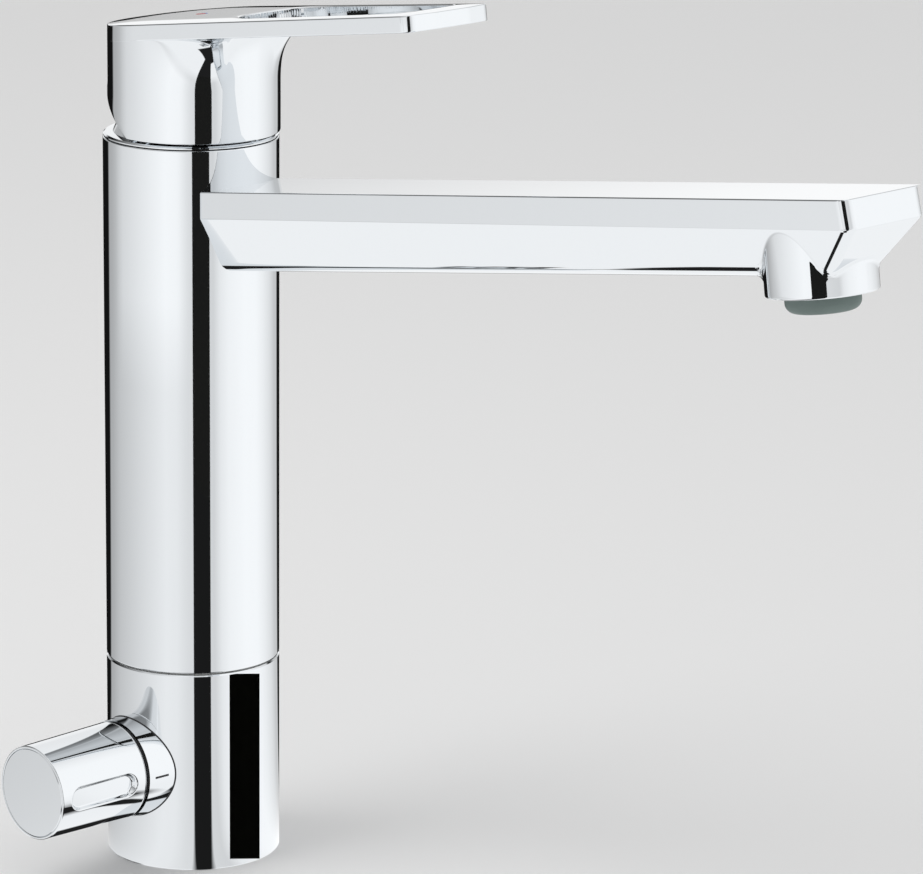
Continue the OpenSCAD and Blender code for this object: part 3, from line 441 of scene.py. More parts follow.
def spout_mesh():
    """The boat-shaped spout, closed, with rounded edges and a root that follows the sleeve."""
    planes = named_planes()
    form = cut_form(list(planes.values()), 1)
    bmesh.ops.remove_doubles(form, verts=form.verts, dist=2e-6)
    owner = {
        face: max(planes, key=lambda name: face.normal.dot(planes[name][1])) for face in form.faces
    }
    widths = []
    for edge in form.edges:
        first, second = edge.link_faces
        radius = edge_radius(owner[first], owner[second])
        widths.append(radius * math.tan(first.normal.angle(second.normal) / 2))
    widest = max(widths)
    weights = form.edges.layers.float.new("bevel_weight_edge")
    for edge, width in zip(form.edges, widths):
        edge[weights] = width / widest
    blank = placed("spout_blank", mesh_of("spout_blank", form))
    bevel = blank.modifiers.new("rounding", "BEVEL")
    bevel.limit_method = "WEIGHT"
    bevel.offset_type = "OFFSET"
    bevel.width = widest
    bevel.segments = 10
    bevel.profile = 0.5
    bevel.use_clamp_overlap = True
    form = bmesh.new()
    bmesh.ops.create_cone(
        form, cap_ends=True, segments=256, depth=0.2, radius1=ROOT_R, radius2=ROOT_R,
        matrix=spout_place().inverted() @ Matrix.Translation((0, 0, 0.18)),
    )
    cutter = placed("root_cutter", mesh_of("root_cutter", form))
    cut = blank.modifiers.new("root", "BOOLEAN")
    cut.operation = "DIFFERENCE"
    cut.solver = "EXACT"
    cut.object = cutter
    result = settled_mesh(blank)
    for obj in (blank, cutter):
        bpy.data.objects.remove(obj)
    return result


def blended(first, second, radius):
    """Distance to the union of two forms with a round blend between them."""
    a = max(radius - first, 0)
    b = max(radius - second, 0)
    return max(radius, min(first, second)) - math.hypot(a, b)


def blend_share(lean):
    """Share of the blend that a rolled fillet has between faces whose normals have this cosine."""
    lean = max(0, min(1, lean))
    return (1 - math.sqrt((1 + lean) / 2)) / (1 - math.sqrt(0.5))


def halved(low, high, rounds, test):
    """Narrows two limits down to where a test stops holding."""
    for _ in range(rounds):
        middle = (low + high) / 2
        if test(middle):
            low = middle
        else:
            high = middle
    return low, high


def boss_rows(tree):
    """Rows of the outlet boss from its lower edge up into the spout's faces, in the spout's frame."""
    s = settings("tap_spout")
    core = Vector((s.reach, 0, -0.5 * s.boss_drop))
    rim = Vector((s.boss_r, -s.boss_drop + 0.4 * MM - core.z))
    start = math.atan2(rim.y, rim.x)
    steps = 44

    def distance(point):
        place, normal, _, span = tree.find_nearest(point)
        hull = span if (point - place).dot(normal) > 0 else -span
        side = Vector((point.x - s.reach, point.y, 0))
        wall = side.length - s.boss_r
        outward = (point - place) / hull if abs(hull) > 0.03 * MM else normal
        radius = s.boss_blend * blend_share(outward.dot(side.normalized()))
        return blended(hull, wall, max(radius, 0.01 * MM)), radius, wall

    fan = []
    for turn in even_turns(BOSS_COLUMNS):
        flat = Vector((math.cos(turn), math.sin(turn), 0))

        def ray(tilt):
            way = flat * math.cos(tilt) + Vector((0, 0, math.sin(tilt)))

            def inside(reach):
                return distance(core + way * reach)[0] <= 0

            return core + way * halved(4 * MM, 34 * MM, 26, inside)[0]

        def on_blend(tilt):
            _, radius, wall = distance(ray(tilt))
            return wall < radius * 1.02 + 0.04 * MM

        last = halved(start, math.radians(34), 14, on_blend)[1]
        fan.append([ray(start + (last - start) * j / steps) for j in range(steps + 1)])
    rows = [list(row) for row in zip(*fan)]
    deeper = []
    for point, before in zip(rows[-1], rows[-2]):
        place, normal, _, _ = tree.find_nearest(point)
        point -= normal * 0.004 * MM
        before -= normal * 0.001 * MM
        deeper.append(place - normal * 0.6 * MM)
    return rows + [deeper]


class TAP_OT_spout(bpy.types.Operator):
    """Swivel sleeve and spout with its outlet boss, in one casting"""

    bl_idname = "tap.spout"
    bl_label = "Sleeve and spout"

    def execute(self, context):
        s = settings("tap_spout")
        place = spout_place()
        hull = spout_mesh()
        form = bmesh.new()
        form.from_mesh(hull)
        tree = BVHTree.FromBMesh(form)
        bmesh.ops.transform(form, matrix=place, verts=form.verts)
        floor = -s.boss_drop
        edge = 0.4 * MM
        mouth = [
            (s.socket_r, floor + 11 * MM), (s.socket_r, floor + edge),
            (s.socket_r + 0.1 * MM, floor + 0.1 * MM), (s.socket_r + edge, floor),
            (s.boss_r - edge, floor), (s.boss_r - 0.2 * MM, floor + 0.05 * MM),
            (s.boss_r - 0.05 * MM, floor + 0.2 * MM),
        ]
        turns = even_turns(BOSS_COLUMNS)
        rows = [ring(radius, height, turns, s.reach) for radius, height in mouth] + boss_rows(tree)
        grid = skin(form, moved(place, rows))
        form.faces.new(grid[0])
        form.faces.new(grid[-1])
        skirt = grid[-2]
        for one, other in zip(skirt, skirt[1:] + skirt[:1]):
            form.edges.get((one, other)).smooth = False
        profile = softened(
            [(BODY_R, SLEEVE_FOOT), (BODY_R, SLEEVE_TOP), (s.bore, SLEEVE_TOP), (s.bore, SLEEVE_FOOT)],
            [s.sleeve_edge, s.sleeve_edge, 0, 0],
        )
        lathe(form, profile)
        add_piece("sleeve_and_spout", form, "spout", "chrome", "spout_sleeve")
        bpy.data.meshes.remove(hull)
        return {"FINISHED"}


def arm_place():
    """The arm's own frame: X along it, Z up from its top face."""
    v = settings("tap_lever")
    return Matrix.Translation((0, 0, v.top_z)) @ Matrix.Rotation(-v.rise, 4, "Y")


def arm_half(x):
    """Half width of the tapered arm."""
    v = settings("tap_lever")
    start = Vector((v.shift + v.head_r * math.sin(v.taper), v.head_r * math.cos(v.taper)))
    return start.y - (x - start.x) * math.tan(v.taper)


def lever_outline():
    """Plan of the lever: round head and tapered arm with a bowed end."""
    v = settings("tap_lever")
    corner_x = v.arm_len - v.bow
    corner_y = arm_half(corner_x)
    bow_y = corner_y * 0.4
    bow_r = 14 * MM
    head = arc((v.shift, 0), v.head_r, math.pi / 2 - v.taper, 1.5 * math.pi + v.taper, 120)
    tip = rounded(
        [
            head[-1], (corner_x, -corner_y), (v.arm_len, -bow_y),
            (v.arm_len, bow_y), (corner_x, corner_y), head[0],
        ],
        [0, v.corner_r, bow_r, bow_r, v.corner_r, 0],
    )
    return head + tip[1:-1]


def loop_outline():
    """Plan of the loop opening."""
    v = settings("tap_lever")
    front = v.arm_len - v.loop_tip
    half_back = arm_half(v.loop_start) - v.loop_rim
    half_front = arm_half(front) - v.loop_rim
    return rounded(
        [(v.loop_start, -half_back), (front, -half_front), (front, half_front), (v.loop_start, half_back)],
        [v.back_r, v.front_r, v.front_r, v.back_r],
    )


def filled(outline, longest):
    """The outline with its long straight stretches divided."""
    points = []
    for i, point in enumerate(outline):
        ahead = outline[(i + 1) % len(outline)]
        parts = max(1, math.ceil((ahead - point).length / longest))
        points += [point.lerp(ahead, k / parts) for k in range(parts)]
    return points


def meeting(centre, way, point, ahead):
    """Where a ray meets the line through two points: distance along the ray, and share of their run."""
    run = ahead - point
    base = way.x * run.y - way.y * run.x
    if abs(base) < 1e-12:
        return -1, 0
    gap = point - centre
    return (gap.x * run.y - gap.y * run.x) / base, (gap.x * way.y - gap.y * way.x) / base


def crossing(outline, centre, way):
    """Where a ray from the centre leaves a convex outline."""
    for point, ahead in zip(outline, outline[1:] + outline[:1]):
        along, part = meeting(centre, way, point, ahead)
        if along > 0 and -1e-4 <= part <= 1 + 1e-4:
            return centre + way * along
    raise RuntimeError("a ray missed the outline")


def paired(outer, inner, centre):
    """Points of two outlines around one centre, taken at the same directions."""
    turns = sorted(math.atan2(point.y - centre.y, point.x - centre.x) for point in outer + inner)
    kept = []
    for turn in turns:
        if not kept or turn - kept[-1] > 2e-4:
            kept.append(turn)
    ways = [Vector((math.cos(turn), math.sin(turn))) for turn in kept]
    return [[crossing(outline, centre, way) for way in ways] for outline in (outer, inner)]


def inward(points):
    """Directions across a counterclockwise outline, towards its inside."""
    ways = []
    for i, point in enumerate(points):
        run = points[(i + 1) % len(points)] - points[i - 1]
        ways.append(Vector((-run.y, run.x)).normalized())
    return ways


def crown_drop(point):
    """How far the lever's top face lies below its plane at a point of the plan."""
    v = settings("tap_lever")
    start_x = v.shift + v.head_r * math.sin(v.taper)
    if point.x < start_x:
        side = v.head_r - math.hypot(point.x - v.shift, point.y)
    else:
        side = (arm_half(point.x) - abs(point.y)) * math.cos(v.taper)
    tip = v.arm_len - point.x
    a = max(0, 1 - max(side, 0) / v.crown_w) ** 2
    b = max(0, 1 - max(tip, 0) / v.crown_w) ** 2
    return v.crown * (a**4 + b**4) ** 0.25


def plate_rows():
    """Closed rows around the lever's plate, in the arm's frame, from the opening's wall outwards."""
    v = settings("tap_lever")
    centre = Vector((0.5 * (v.loop_start + v.arm_len - v.loop_tip), 0))
    outer, inner = paired(filled(lever_outline(), 1.2 * MM), filled(loop_outline(), 1.2 * MM), centre)
    outer_in = inward(outer)
    inner_out = [-way for way in inward(inner)]
    rows = []

    def row(shift_outer, mix, drop, crowned):
        points = []
        for p, p_in, q, q_out in zip(outer, outer_in, inner, inner_out):
            near = q + q_out * (shift_outer if mix == 0 else v.fine_edge)
            free = smooth((p.x - v.shift) / (6 * MM))
            edge_in = v.edge if crowned else v.fine_edge * free
            far = p + p_in * ((shift_outer if crowned else shift_outer * free) if mix == 1 else edge_in)
            flat = near.lerp(far, mix)
            height = -drop - (crown_drop(flat) if crowned else 0)
            upright = (1 - smooth(flat.x / (26 * MM))) * math.tan(v.rise)
            points.append(Vector((flat.x - drop * upright, flat.y, height)))
        rows.append(points)

    fine = v.fine_edge
    for a in QUARTER:
        row(fine * (1 - math.cos(a)), 0, fine * (1 - math.sin(a)), True)
    for k in range(1, 12):
        row(0, k / 12, 0, True)
    for a in reversed(QUARTER):
        row(v.edge * (1 - math.cos(a)), 1, v.edge * (1 - math.sin(a)), True)
    for a in QUARTER:
        row(fine * (1 - math.cos(a)), 1, v.arm_t - fine * (1 - math.sin(a)), False)
    for k in (2, 1):
        row(0, k / 3, v.arm_t, False)
    for a in reversed(QUARTER):
        row(fine * (1 - math.cos(a)), 0, v.arm_t - fine * (1 - math.sin(a)), False)
    return rows


def flare_reaches(ways):
    """How far the flare reaches out from the head's wall in each of these directions."""
    v = settings("tap_lever")
    centre = Vector((v.shift, 0))
    outline = lever_outline()
    loop = loop_outline()
    room = []
    for way in ways:
        gap = (crossing(outline, centre, way) - centre).length
        for point, ahead in zip(loop, loop[1:] + loop[:1]):
            along, part = meeting(centre, way, point, ahead)
            if along > 0 and 0 <= part <= 1:
                gap = min(gap, along)
        room.append(max(gap - v.head_r - 0.4 * MM, 0))
    count = len(ways)
    span = round(count * 5 / 360)
    least = [min(room[(i + k) % count] for k in range(-span, span + 1)) for i in range(count)]
    reaches = []
    for i in range(count):
        near = sum(least[(i + k) % count] for k in range(-span, span + 1)) / (2 * span + 1)
        near = min(near, room[i])
        reaches.append(near / (1 + (near / v.flare_out) ** 4) ** 0.25)
    return reaches


def head_rows():
    """Rows of the hollow head and its flare, from the top's middle down, in and up to the hub."""
    v = settings("tap_lever")
    slope = math.tan(v.rise)
    fine = v.fine_edge
    bore = v.head_r - v.wall
    sunk = 1.0 * MM
    ways = [spin((1, 0), turn) for turn in even_turns(240)]
    reaches = flare_reaches(ways)

    def low(x):
        return v.low_z + max(0, -x) * math.tan(v.bevel)

    columns = []
    for way, reach in zip(ways, reaches):
        rise = slope * way.x
        back = max(0, -way.x) * v.head_r * (1 - math.cos(v.rise))
        base = v.top_z + slope * v.shift - v.arm_t / math.cos(v.rise)
        column = []

        def put(radius, height, offset=0.0):
            column.append(Vector((v.shift + radius * way.x + offset, radius * way.y, height)))

        def rim(radius, lift):
            x = v.shift + radius * way.x
            column.append(Vector((x, radius * way.y, low(x) + lift)))

        top = v.top_z + slope * (v.shift + (v.head_r - 1 * MM) * way.x) - 1.4 * MM
        put(v.head_r - 1 * MM, top)
        foot = low(v.shift + v.head_r * way.x)
        drop = min(v.flare_h, base + rise * v.head_r - foot - 3 * MM)
        flare = []
        for k in range(19):
            sweep = math.pi / 2 * k / 18
            radius = v.head_r + reach * (1 - math.cos(sweep)) - 0.01 * MM
            flare.append((radius, base + rise * radius - drop * (1 - math.sin(sweep))))
        end_radius, end_height = flare[-1]
        put(end_radius, end_height + sunk, back)
        for radius, height in reversed(flare):
            put(radius, height, back)
        for k in (1, 2, 3):
            put(v.head_r, flare[0][1] + (foot + 2 * MM - flare[0][1]) * k / 3, back * (1 - k / 3))
        rim(v.head_r, fine)
        rim(v.head_r - 0.3 * fine, 0.3 * fine)
        rim(v.head_r - fine, 0)
        rim(bore + fine, 0)
        rim(bore + 0.3 * fine, 0.3 * fine)
        rim(bore, fine)
        put(bore, v.roof_z - 4 * MM)
        put(bore, v.roof_z - fine)
        put(bore - fine, v.roof_z)
        put(v.hub_r + fine, v.roof_z, -v.shift)
        put(v.hub_r, v.roof_z - fine, -v.shift)
        put(v.hub_r, v.hub_z + fine, -v.shift)
        put(v.hub_r - fine, v.hub_z, -v.shift)
        columns.append(column)
    return [list(row) for row in zip(*columns)]


class TAP_OT_lever(bpy.types.Operator):
    """Lever with its hollow head, flared arm and loop opening"""

    bl_idname = "tap.lever"
    bl_label = "Lever"

    def execute(self, context):
        form = bmesh.new()
        place = arm_place()
        skin(form, moved(place, plate_rows()), closed_ends=True)
        grid = skin(form, head_rows())
        form.faces.new(grid[0])
        form.faces.new(grid[-1])
        add_piece("lever_shell", form, "lever", "chrome", "lever")
        return {"FINISHED"}


# Rounded section of the index dot: share of its radius, and height above the lever's top in millimetres
DOT_CROWN = [(1, -0.5), (1, -0.02), (0.97, 0.03), (0.9, 0.07), (0.7, 0.1), (0.35, 0.12), (0, 0.125)]


class TAP_OT_lever_trim(bpy.types.Operator):
    """Index dot in the lever's top and plug over its set screw"""

    bl_idname = "tap.lever_trim"
    bl_label = "Lever trim"

    def execute(self, context):
        place = arm_place()
        v = settings("tap_lever")
        radius = (DOT_HIGH[0] - DOT_LOW[0]) / 2 / math.cos(v.rise)
        centre_x = (DOT_LOW[0] + DOT_HIGH[0]) / 2 / math.cos(v.rise)
        for name, side, slot, marked in (
            ("hot_dot", -1, "hot_red", "hot_mark"), ("cold_dot", 1, "cold_blue", "cold_mark")
        ):
            form = bmesh.new()
            rows = []
            for share_of_r, height in DOT_CROWN:
                row = []
                for k in range(33):
                    turn = math.pi * k / 32
                    x = centre_x + radius * share_of_r * math.cos(turn)
                    y = side * (0.03 * MM + radius * share_of_r * math.sin(turn))
                    row.append(place @ Vector((x, y, height * MM)))
                rows.append(row)
            grid = skin(form, rows, closed_rows=False)
            form.faces.new([row[0] for row in grid] + [row[-1] for row in reversed(grid)])
            form.faces.new(grid[0])
            bmesh.ops.remove_doubles(form, verts=form.verts, dist=1e-7)
            add_piece(name, form, "lever", slot, marked)
        form = bmesh.new()
        cover_r = (PLUG_HIGH[1] - PLUG_LOW[1]) / 2
        height = (PLUG_HIGH[2] + PLUG_LOW[2]) / 2
        face = v.shift - v.head_r - 0.03 * MM
        side_place = Matrix.Translation((face, 0, height)) @ Matrix.Rotation(-math.pi / 2, 4, "Y")
        profile = softened(
            [(0.05 * MM, -1.2 * MM), (cover_r, -1.2 * MM), (cover_r, 0), (0.05 * MM, 0)],
            [0, 0, 0.3 * MM, 0],
        )
        lathe(form, profile, side_place, 96)
        add_piece("set_screw_plug", form, "lever", "chrome", "screw_cover")
        return {"FINISHED"}


def valve_place():
    """The stop valve's frame: Z out along its axis, X towards the spout's side."""
    return Matrix.Translation((0, 0, VALVE_Z)) @ Matrix.Rotation(math.pi / 2, 4, "X")


def smooth(value):
    """A smooth step from 0 to 1."""
    value = max(0, min(1, value))
    return value * value * (3 - 2 * value)


class TAP_OT_knob(bpy.types.Operator):
    """Knob of the stop valve, with its thumb recess"""

    bl_idname = "tap.knob"
    bl_label = "Stop valve knob"

    def execute(self, context):
        k = settings("tap_valve")
        back = -KNOB_HIGH[1]
        face = -KNOB_LOW[1]
        e = k.edge
        place = valve_place()
        floor_x = k.face_r - k.recess_depth + (k.root_r - k.face_r) / 2
        recess_high = face - k.recess_inset
        recess_low = recess_high - k.recess_len

        def cone(z):
            return k.root_r + (k.face_r - k.root_r) * (z - back) / (face - back)

        def dent(turn, z):
            radius = cone(z)
            if math.cos(turn) < 0.8:
                return radius
            across = radius * math.sin(turn)
            half = k.recess_w / 2
            nearest = min(max(z, recess_low + half), recess_high - half)
            inside = half - math.hypot(across, z - nearest)
            return radius - smooth(0.5 + inside / k.recess_soft) * max(0, radius - floor_x / math.cos(turn))

        turns = []
        turn = -180.0
        while turn < 180:
            turns.append(math.radians(turn))
            turn += 0.6 if abs(turn) < 20 else 2
        zs = [back + e]
        while zs[-1] < face - e - 0.3 * MM:
            zs.append(zs[-1] + 0.28 * MM)
        zs.append(face - e)
        cavity_r = 10 * MM
        section = [(cavity_r, back + 11 * MM), (cavity_r, back + 0.2 * MM)]
        section += [(k.root_r - e + e * math.cos(a), back + e - e * math.sin(a)) for a in reversed(QUARTER)]
        section += [([dent(t, z) for t in turns], z) for z in zs]
        section += [(k.face_r - e + e * math.cos(a), face - e + e * math.sin(a)) for a in QUARTER[1:]]
        section += [
            (k.cap_r + 0.12 * MM, face), (k.cap_r + 0.03 * MM, face - 0.03 * MM),
            (k.cap_r, face - 0.12 * MM), (k.cap_r, face - 2.5 * MM),
        ]
        form = bmesh.new()
        grid = skin(form, moved(place, [ring(radius, z, turns) for radius, z in section]))
        form.faces.new(grid[0])
        form.faces.new(grid[-1])
        add_piece("knob_shell", form, "knob", "chrome", "stop_knob")
        return {"FINISHED"}


class TAP_OT_collar_mark(bpy.types.Operator):
    """Plain index line on the stop valve's collar"""

    bl_idname = "tap.collar_mark"
    bl_label = "Collar mark"

    def execute(self, context):
        k = settings("tap_valve")
        place = valve_place()
        middle_z = COLLAR_END - k.mark_inset
        rows = []
        for lift in (0.03 * MM, -0.4 * MM):
            for i in range(9):
                z = middle_z + k.mark_len * (i / 8 - 0.5)
                if lift < 0:
                    z = middle_z + k.mark_len * (0.5 - i / 8)
                radius = k.collar_root + (k.collar_end - k.collar_root) * z / COLLAR_END + lift
                half = k.mark_w / 2 / radius
                rows.append(ring(radius, z, [k.mark_turn + half * (j / 3 - 1) for j in range(7)]))
        form = bmesh.new()
        grid = skin(form, moved(place, rows), False, True)
        form.faces.new([row[0] for row in grid])
        form.faces.new([row[-1] for row in grid])
        add_piece("collar_mark", form, "base", "dark_plastic")
        return {"FINISHED"}


class TAP_OT_seams(bpy.types.Operator):
    """Dark seams at the root of the stop valve's collar and on top of the sleeve"""

    bl_idname = "tap.seams"
    bl_label = "Seams"

    def execute(self, context):
        k = settings("tap_valve")
        place = valve_place()
        rows = []
        for turn in even_turns(144):
            radius = k.collar_root
            for _ in range(4):
                height = math.sqrt(BODY_R**2 - (radius * math.cos(turn)) ** 2)
                radius = k.collar_root + (k.collar_end - k.collar_root) * height / COLLAR_END
            section = arc((radius, height), k.seam, 0, math.tau, 10)[:-1]
            rows.append([point for x, z in section for point in ring(x, z, [turn])])
        form = bmesh.new()
        skin(form, moved(place, rows), closed_ends=True)
        add_piece("collar_seam", form, "base", "dark_plastic")
        form = bmesh.new()
        low = SLEEVE_TOP + k.seam_play
        high = SLEEVE_TOP + k.seam_gap - k.seam_play
        outer = BODY_R - k.seam_depth
        lathe(form, [(outer - 1 * MM, low), (outer, low), (outer, high), (outer - 1 * MM, high)])
        add_piece("top_seam", form, "base", "dark_plastic")
        return {"FINISHED"}


def new_material(name):
    """A new material, its nodes and its Principled shader."""
    material = bpy.data.materials.new(name)
    material.use_nodes = True
    tree = material.node_tree
    return material, tree, next(n for n in tree.nodes if n.type == "BSDF_PRINCIPLED")


def group(name, inputs, outputs):
    """A new shader node group with its sockets, and its input and output nodes."""
    tree = bpy.data.node_groups.new(name, "ShaderNodeTree")
    for label, default in inputs.items():
        kind = "NodeSocketVector" if isinstance(default, tuple) else "NodeSocketFloat"
        tree.interface.new_socket(label, in_out="INPUT", socket_type=kind).default_value = default
    for label in outputs:
        tree.interface.new_socket(label, in_out="OUTPUT", socket_type="NodeSocketFloat")
    return tree, tree.nodes.new("NodeGroupInput").outputs, tree.nodes.new("NodeGroupOutput").inputs


def node(tree, kind, links=(), **values):
    """A node with its settings and its incoming links."""
    made = tree.nodes.new(kind)
    for key, value in values.items():
        setattr(made, key, value)
    for name, source in links:
        if isinstance(source, bpy.types.NodeSocket):
            tree.links.new(source, made.inputs[name])
        else:
            made.inputs[name].default_value = source
    return made


def maths(tree, operation, *values):
    """A maths node's value."""
    return node(tree, "ShaderNodeMath", enumerate(values), operation=operation).outputs[0]


def product(tree, value, *others):
    """The product of several values."""
    for other in others:
        value = maths(tree, "MULTIPLY", value, other)
    return value


def rest(tree, value):
    """What a value leaves of 1."""
    return maths(tree, "SUBTRACT", 1, value)


def fade(tree, value, start, end):
    """A value's way from a start to an end, as 0 to 1."""
    made = node(tree, "ShaderNodeMapRange", [("Value", value), ("From Min", start), ("From Max", end)])
    return made.outputs[0]


def between(tree, value, low, high, soft):
    """1 where a value lies between two limits, with soft ends."""
    rising = fade(tree, value, low - soft, low + soft)
    return product(tree, rising, fade(tree, value, high + soft, high - soft))


def vector_maths(tree, operation, first, second):
    """A vector maths node's outputs."""
    return node(tree, "ShaderNodeVectorMath", [(0, first), (1, second)], operation=operation).outputs


def noise(tree, place, scale, detail, roughness=0.5):
    """Cloudy noise."""
    return node(tree, "ShaderNodeTexNoise", [
        ("Vector", place), ("Scale", scale), ("Detail", detail), ("Roughness", roughness),
    ]).outputs["Fac"]


def give(tree, sockets, *values):
    """Links values to a group's outputs, in their order."""
    for value, socket in zip(values, sockets):
        tree.links.new(value, socket)
    return tree


def effect_group(name, **inputs):
    """A group that gives gloss, relief and a mask, with its sockets and the object's coordinates."""
    tree, given, sockets = group(name, inputs, ("Roughness", "Height", "Mask"))
    return tree, given, sockets, node(tree, "ShaderNodeTexCoord").outputs["Object"]


def polish_group():
    """Faint haze, wipe marks and waviness of a polished metal face."""
    tree, given, sockets, place = effect_group("polish", Haze=0.02, Marks=0.02, Waviness=0.05)
    clouds = noise(tree, place, 46, 5, 0.62)
    stretched = node(tree, "ShaderNodeMapping", [("Vector", place), ("Scale", (260, 260, 18))]).outputs[0]
    wipes = noise(tree, stretched, 3, 3)
    dust = noise(tree, place, 900, 2)
    waves = noise(tree, place, 34, 1)
    mask = product(tree, maths(tree, "SMOOTH_MIN", clouds, 0.62, 0.1), wipes)
    marks = maths(tree, "MULTIPLY_ADD", maths(tree, "POWER", mask, 2), given["Marks"], given["Haze"])
    grit = product(tree, maths(tree, "GREATER_THAN", dust, 0.74), 0.02)
    height = product(tree, waves, given["Waviness"])
    return give(tree, sockets, maths(tree, "ADD", marks, grit), height, mask)


def turned_group():
    """Fine turning lines and stain of a machined face."""
    tree, given, sockets, place = effect_group("turned", Lines=9000, Haze=0.2, Stain=0.2)
    height = node(tree, "ShaderNodeSeparateXYZ", [("Vector", place)]).outputs["Z"]
    lines = maths(tree, "SINE", product(tree, height, given["Lines"]))
    clouds = noise(tree, place, 90, 6)
    haze = maths(tree, "MULTIPLY_ADD", clouds, given["Stain"], given["Haze"])
    return give(tree, sockets, haze, product(tree, lines, 0.5), clouds)


def moulded_group():
    """Fine grain and uneven gloss of a moulded face."""
    tree, given, sockets, place = effect_group("moulded", Grain=2200, Haze=0.35, Unevenness=0.15)
    grain = noise(tree, place, given["Grain"], 2)
    clouds = noise(tree, place, 120, 4)
    haze = maths(tree, "MULTIPLY_ADD", clouds, given["Unevenness"], given["Haze"])
    return give(tree, sockets, haze, grain, clouds)


EFFECTS = {"polish": polish_group, "turned": turned_group, "moulded": moulded_group}

# For each slot its effect and the effect's values, the factor of its colour in deep marks, then its metallic
# value, its relief in millimetres and its specular level
FINISHES = {
    "chrome": ("polish", {"Haze": 0.03, "Marks": 0.06, "Waviness": 0.05}, 0.985, 1, 0.02, 0.5),
    "brass": ("turned", {"Lines": 12000, "Haze": 0.18, "Stain": 0.2}, 0.7, 1, 0.01, 0.5),
    "steel": ("turned", {"Lines": 15000, "Haze": 0.2, "Stain": 0.15}, 0.8, 1, 0.008, 0.5),
    "black_rubber": ("moulded", {"Haze": 0.45, "Unevenness": 0.3}, 2.5, 0, 0.02, 0.5),
    "glide_plastic": ("moulded", {"Haze": 0.35}, 0.92, 0, 0.01, 0.5),
    "dark_plastic": ("moulded", {"Haze": 0.4}, 2.5, 0, 0.01, 0.5),
    "cartridge_plastic": ("moulded", {"Haze": 0.4}, 0.88, 0, 0.015, 0.5),
    "ceramic": ("moulded", {"Haze": 0.12, "Unevenness": 0.08}, 0.95, 0, 0.003, 0.5),
    "aerator_plastic": ("moulded", {"Haze": 0.45}, 0.75, 0, 0.015, 0.2),
    "hot_red": ("moulded", {"Haze": 0.1, "Unevenness": 0.06}, 0.85, 0, 0.003, 0.5),
    "cold_blue": ("moulded", {"Haze": 0.1, "Unevenness": 0.06}, 0.85, 0, 0.003, 0.5),
}


def finish(slot):
    """The material of a slot, made when it is first asked for."""
    made = bpy.data.materials.get("tap_" + slot)
    if made:
        return made
    effect, values, deep, metallic, depth, specular = FINISHES[slot]
    base = getattr(settings("tap_finishes"), slot)
    deeper = [channel * deep for channel in base]
    effect_tree = bpy.data.node_groups.get(effect) or EFFECTS[effect]()
    material, tree, shader = new_material("tap_" + slot)
    marks = node(tree, "ShaderNodeGroup", values.items(), node_tree=effect_tree).outputs
    tone = node(
        tree, "ShaderNodeMix", [(0, marks["Mask"]), (6, (*base, 1)), (7, (*deeper, 1))], data_type="RGBA"
    )
    relief = node(
        tree, "ShaderNodeBump", [("Height", marks["Height"]), ("Distance", depth * MM), ("Strength", 1)]
    )
    tree.links.new(tone.outputs[2], shader.inputs["Base Color"])
    tree.links.new(marks["Roughness"], shader.inputs["Roughness"])
    tree.links.new(relief.outputs["Normal"], shader.inputs["Normal"])
    shader.inputs["Metallic"].default_value = metallic
    shader.inputs["Specular IOR Level"].default_value = specular
    return material


class TAP_OT_frame_finishes(bpy.types.Operator):
    """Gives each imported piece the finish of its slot"""

    bl_idname = "tap.frame_finishes"
    bl_label = "Finishes of the packed pieces"

    def execute(self, context):
        slots = {part["node"]: part["material_slot"] for part in frame["record"]["subparts"]}
        for name, obj in frame["nodes"].items():
            for slot in obj.material_slots:
                slot.material = finish(slots[name])
        return {"FINISHED"}


def ramp_by_turn(tree, part, stops):
    """Grey tones along a full turn, from stops of degrees and tone."""
    ramp = node(tree, "ShaderNodeValToRGB", [("Fac", part)])
    points = ramp.color_ramp.elements
    while len(points) < len(stops):
        points.new(0.5)
    for point, (degrees, tone) in zip(points, stops):
        point.position = degrees / 360 + 0.5
        point.color = (tone, tone, tone, 1)
    return ramp.outputs["Color"]


def surroundings_group():
    """Brightness of the surroundings by their direction from the tap."""
    tree, given, sockets = group("surroundings", {"Vector": (0, 0, 0)}, ("Tone", "Sky", "Turn"))
    way = node(tree, "ShaderNodeSeparateXYZ", [("Vector", given["Vector"])]).outputs
    turn = maths(tree, "ARCTAN2", way["Y"], way["X"])
    part = maths(tree, "MULTIPLY_ADD", turn, 1 / math.tau, 0.5)
    low = ramp_by_turn(tree, part, TONES)
    high = ramp_by_turn(tree, part, SKY_TONES)
    degrees = product(tree, turn, 180 / math.pi)
    lift = product(tree, fade(tree, way["Z"], -0.025, 0.01), between(tree, degrees, 113, 163, 3), 0.46)
    band = product(tree, fade(tree, way["Z"], 0.92, 0.45), between(tree, way["Z"], 0.3, 2, 0.05))
    drop = product(tree, band, rest(tree, high))
    sky = product(tree, maths(tree, "ADD", low, lift), rest(tree, drop))
    return give(tree, sockets, low, sky, degrees)


def surroundings(tree, way):
    """The tones around the tap in a direction."""
    shared = bpy.data.node_groups.get("surroundings") or surroundings_group()
    return node(tree, "ShaderNodeGroup", [("Vector", way)], node_tree=shared).outputs


def beside(tree, place, line, side):
    """1 on one side of a line on the floor, 0 on the other."""
    start, degrees = line
    turn = math.radians(degrees)
    across = (-side * math.sin(turn), side * math.cos(turn), 0)
    gap = vector_maths(tree, "SUBTRACT", place, start)[0]
    away = vector_maths(tree, "DOT_PRODUCT", gap, across)["Value"]
    return fade(tree, away, -0.8 * MM, 0.8 * MM)


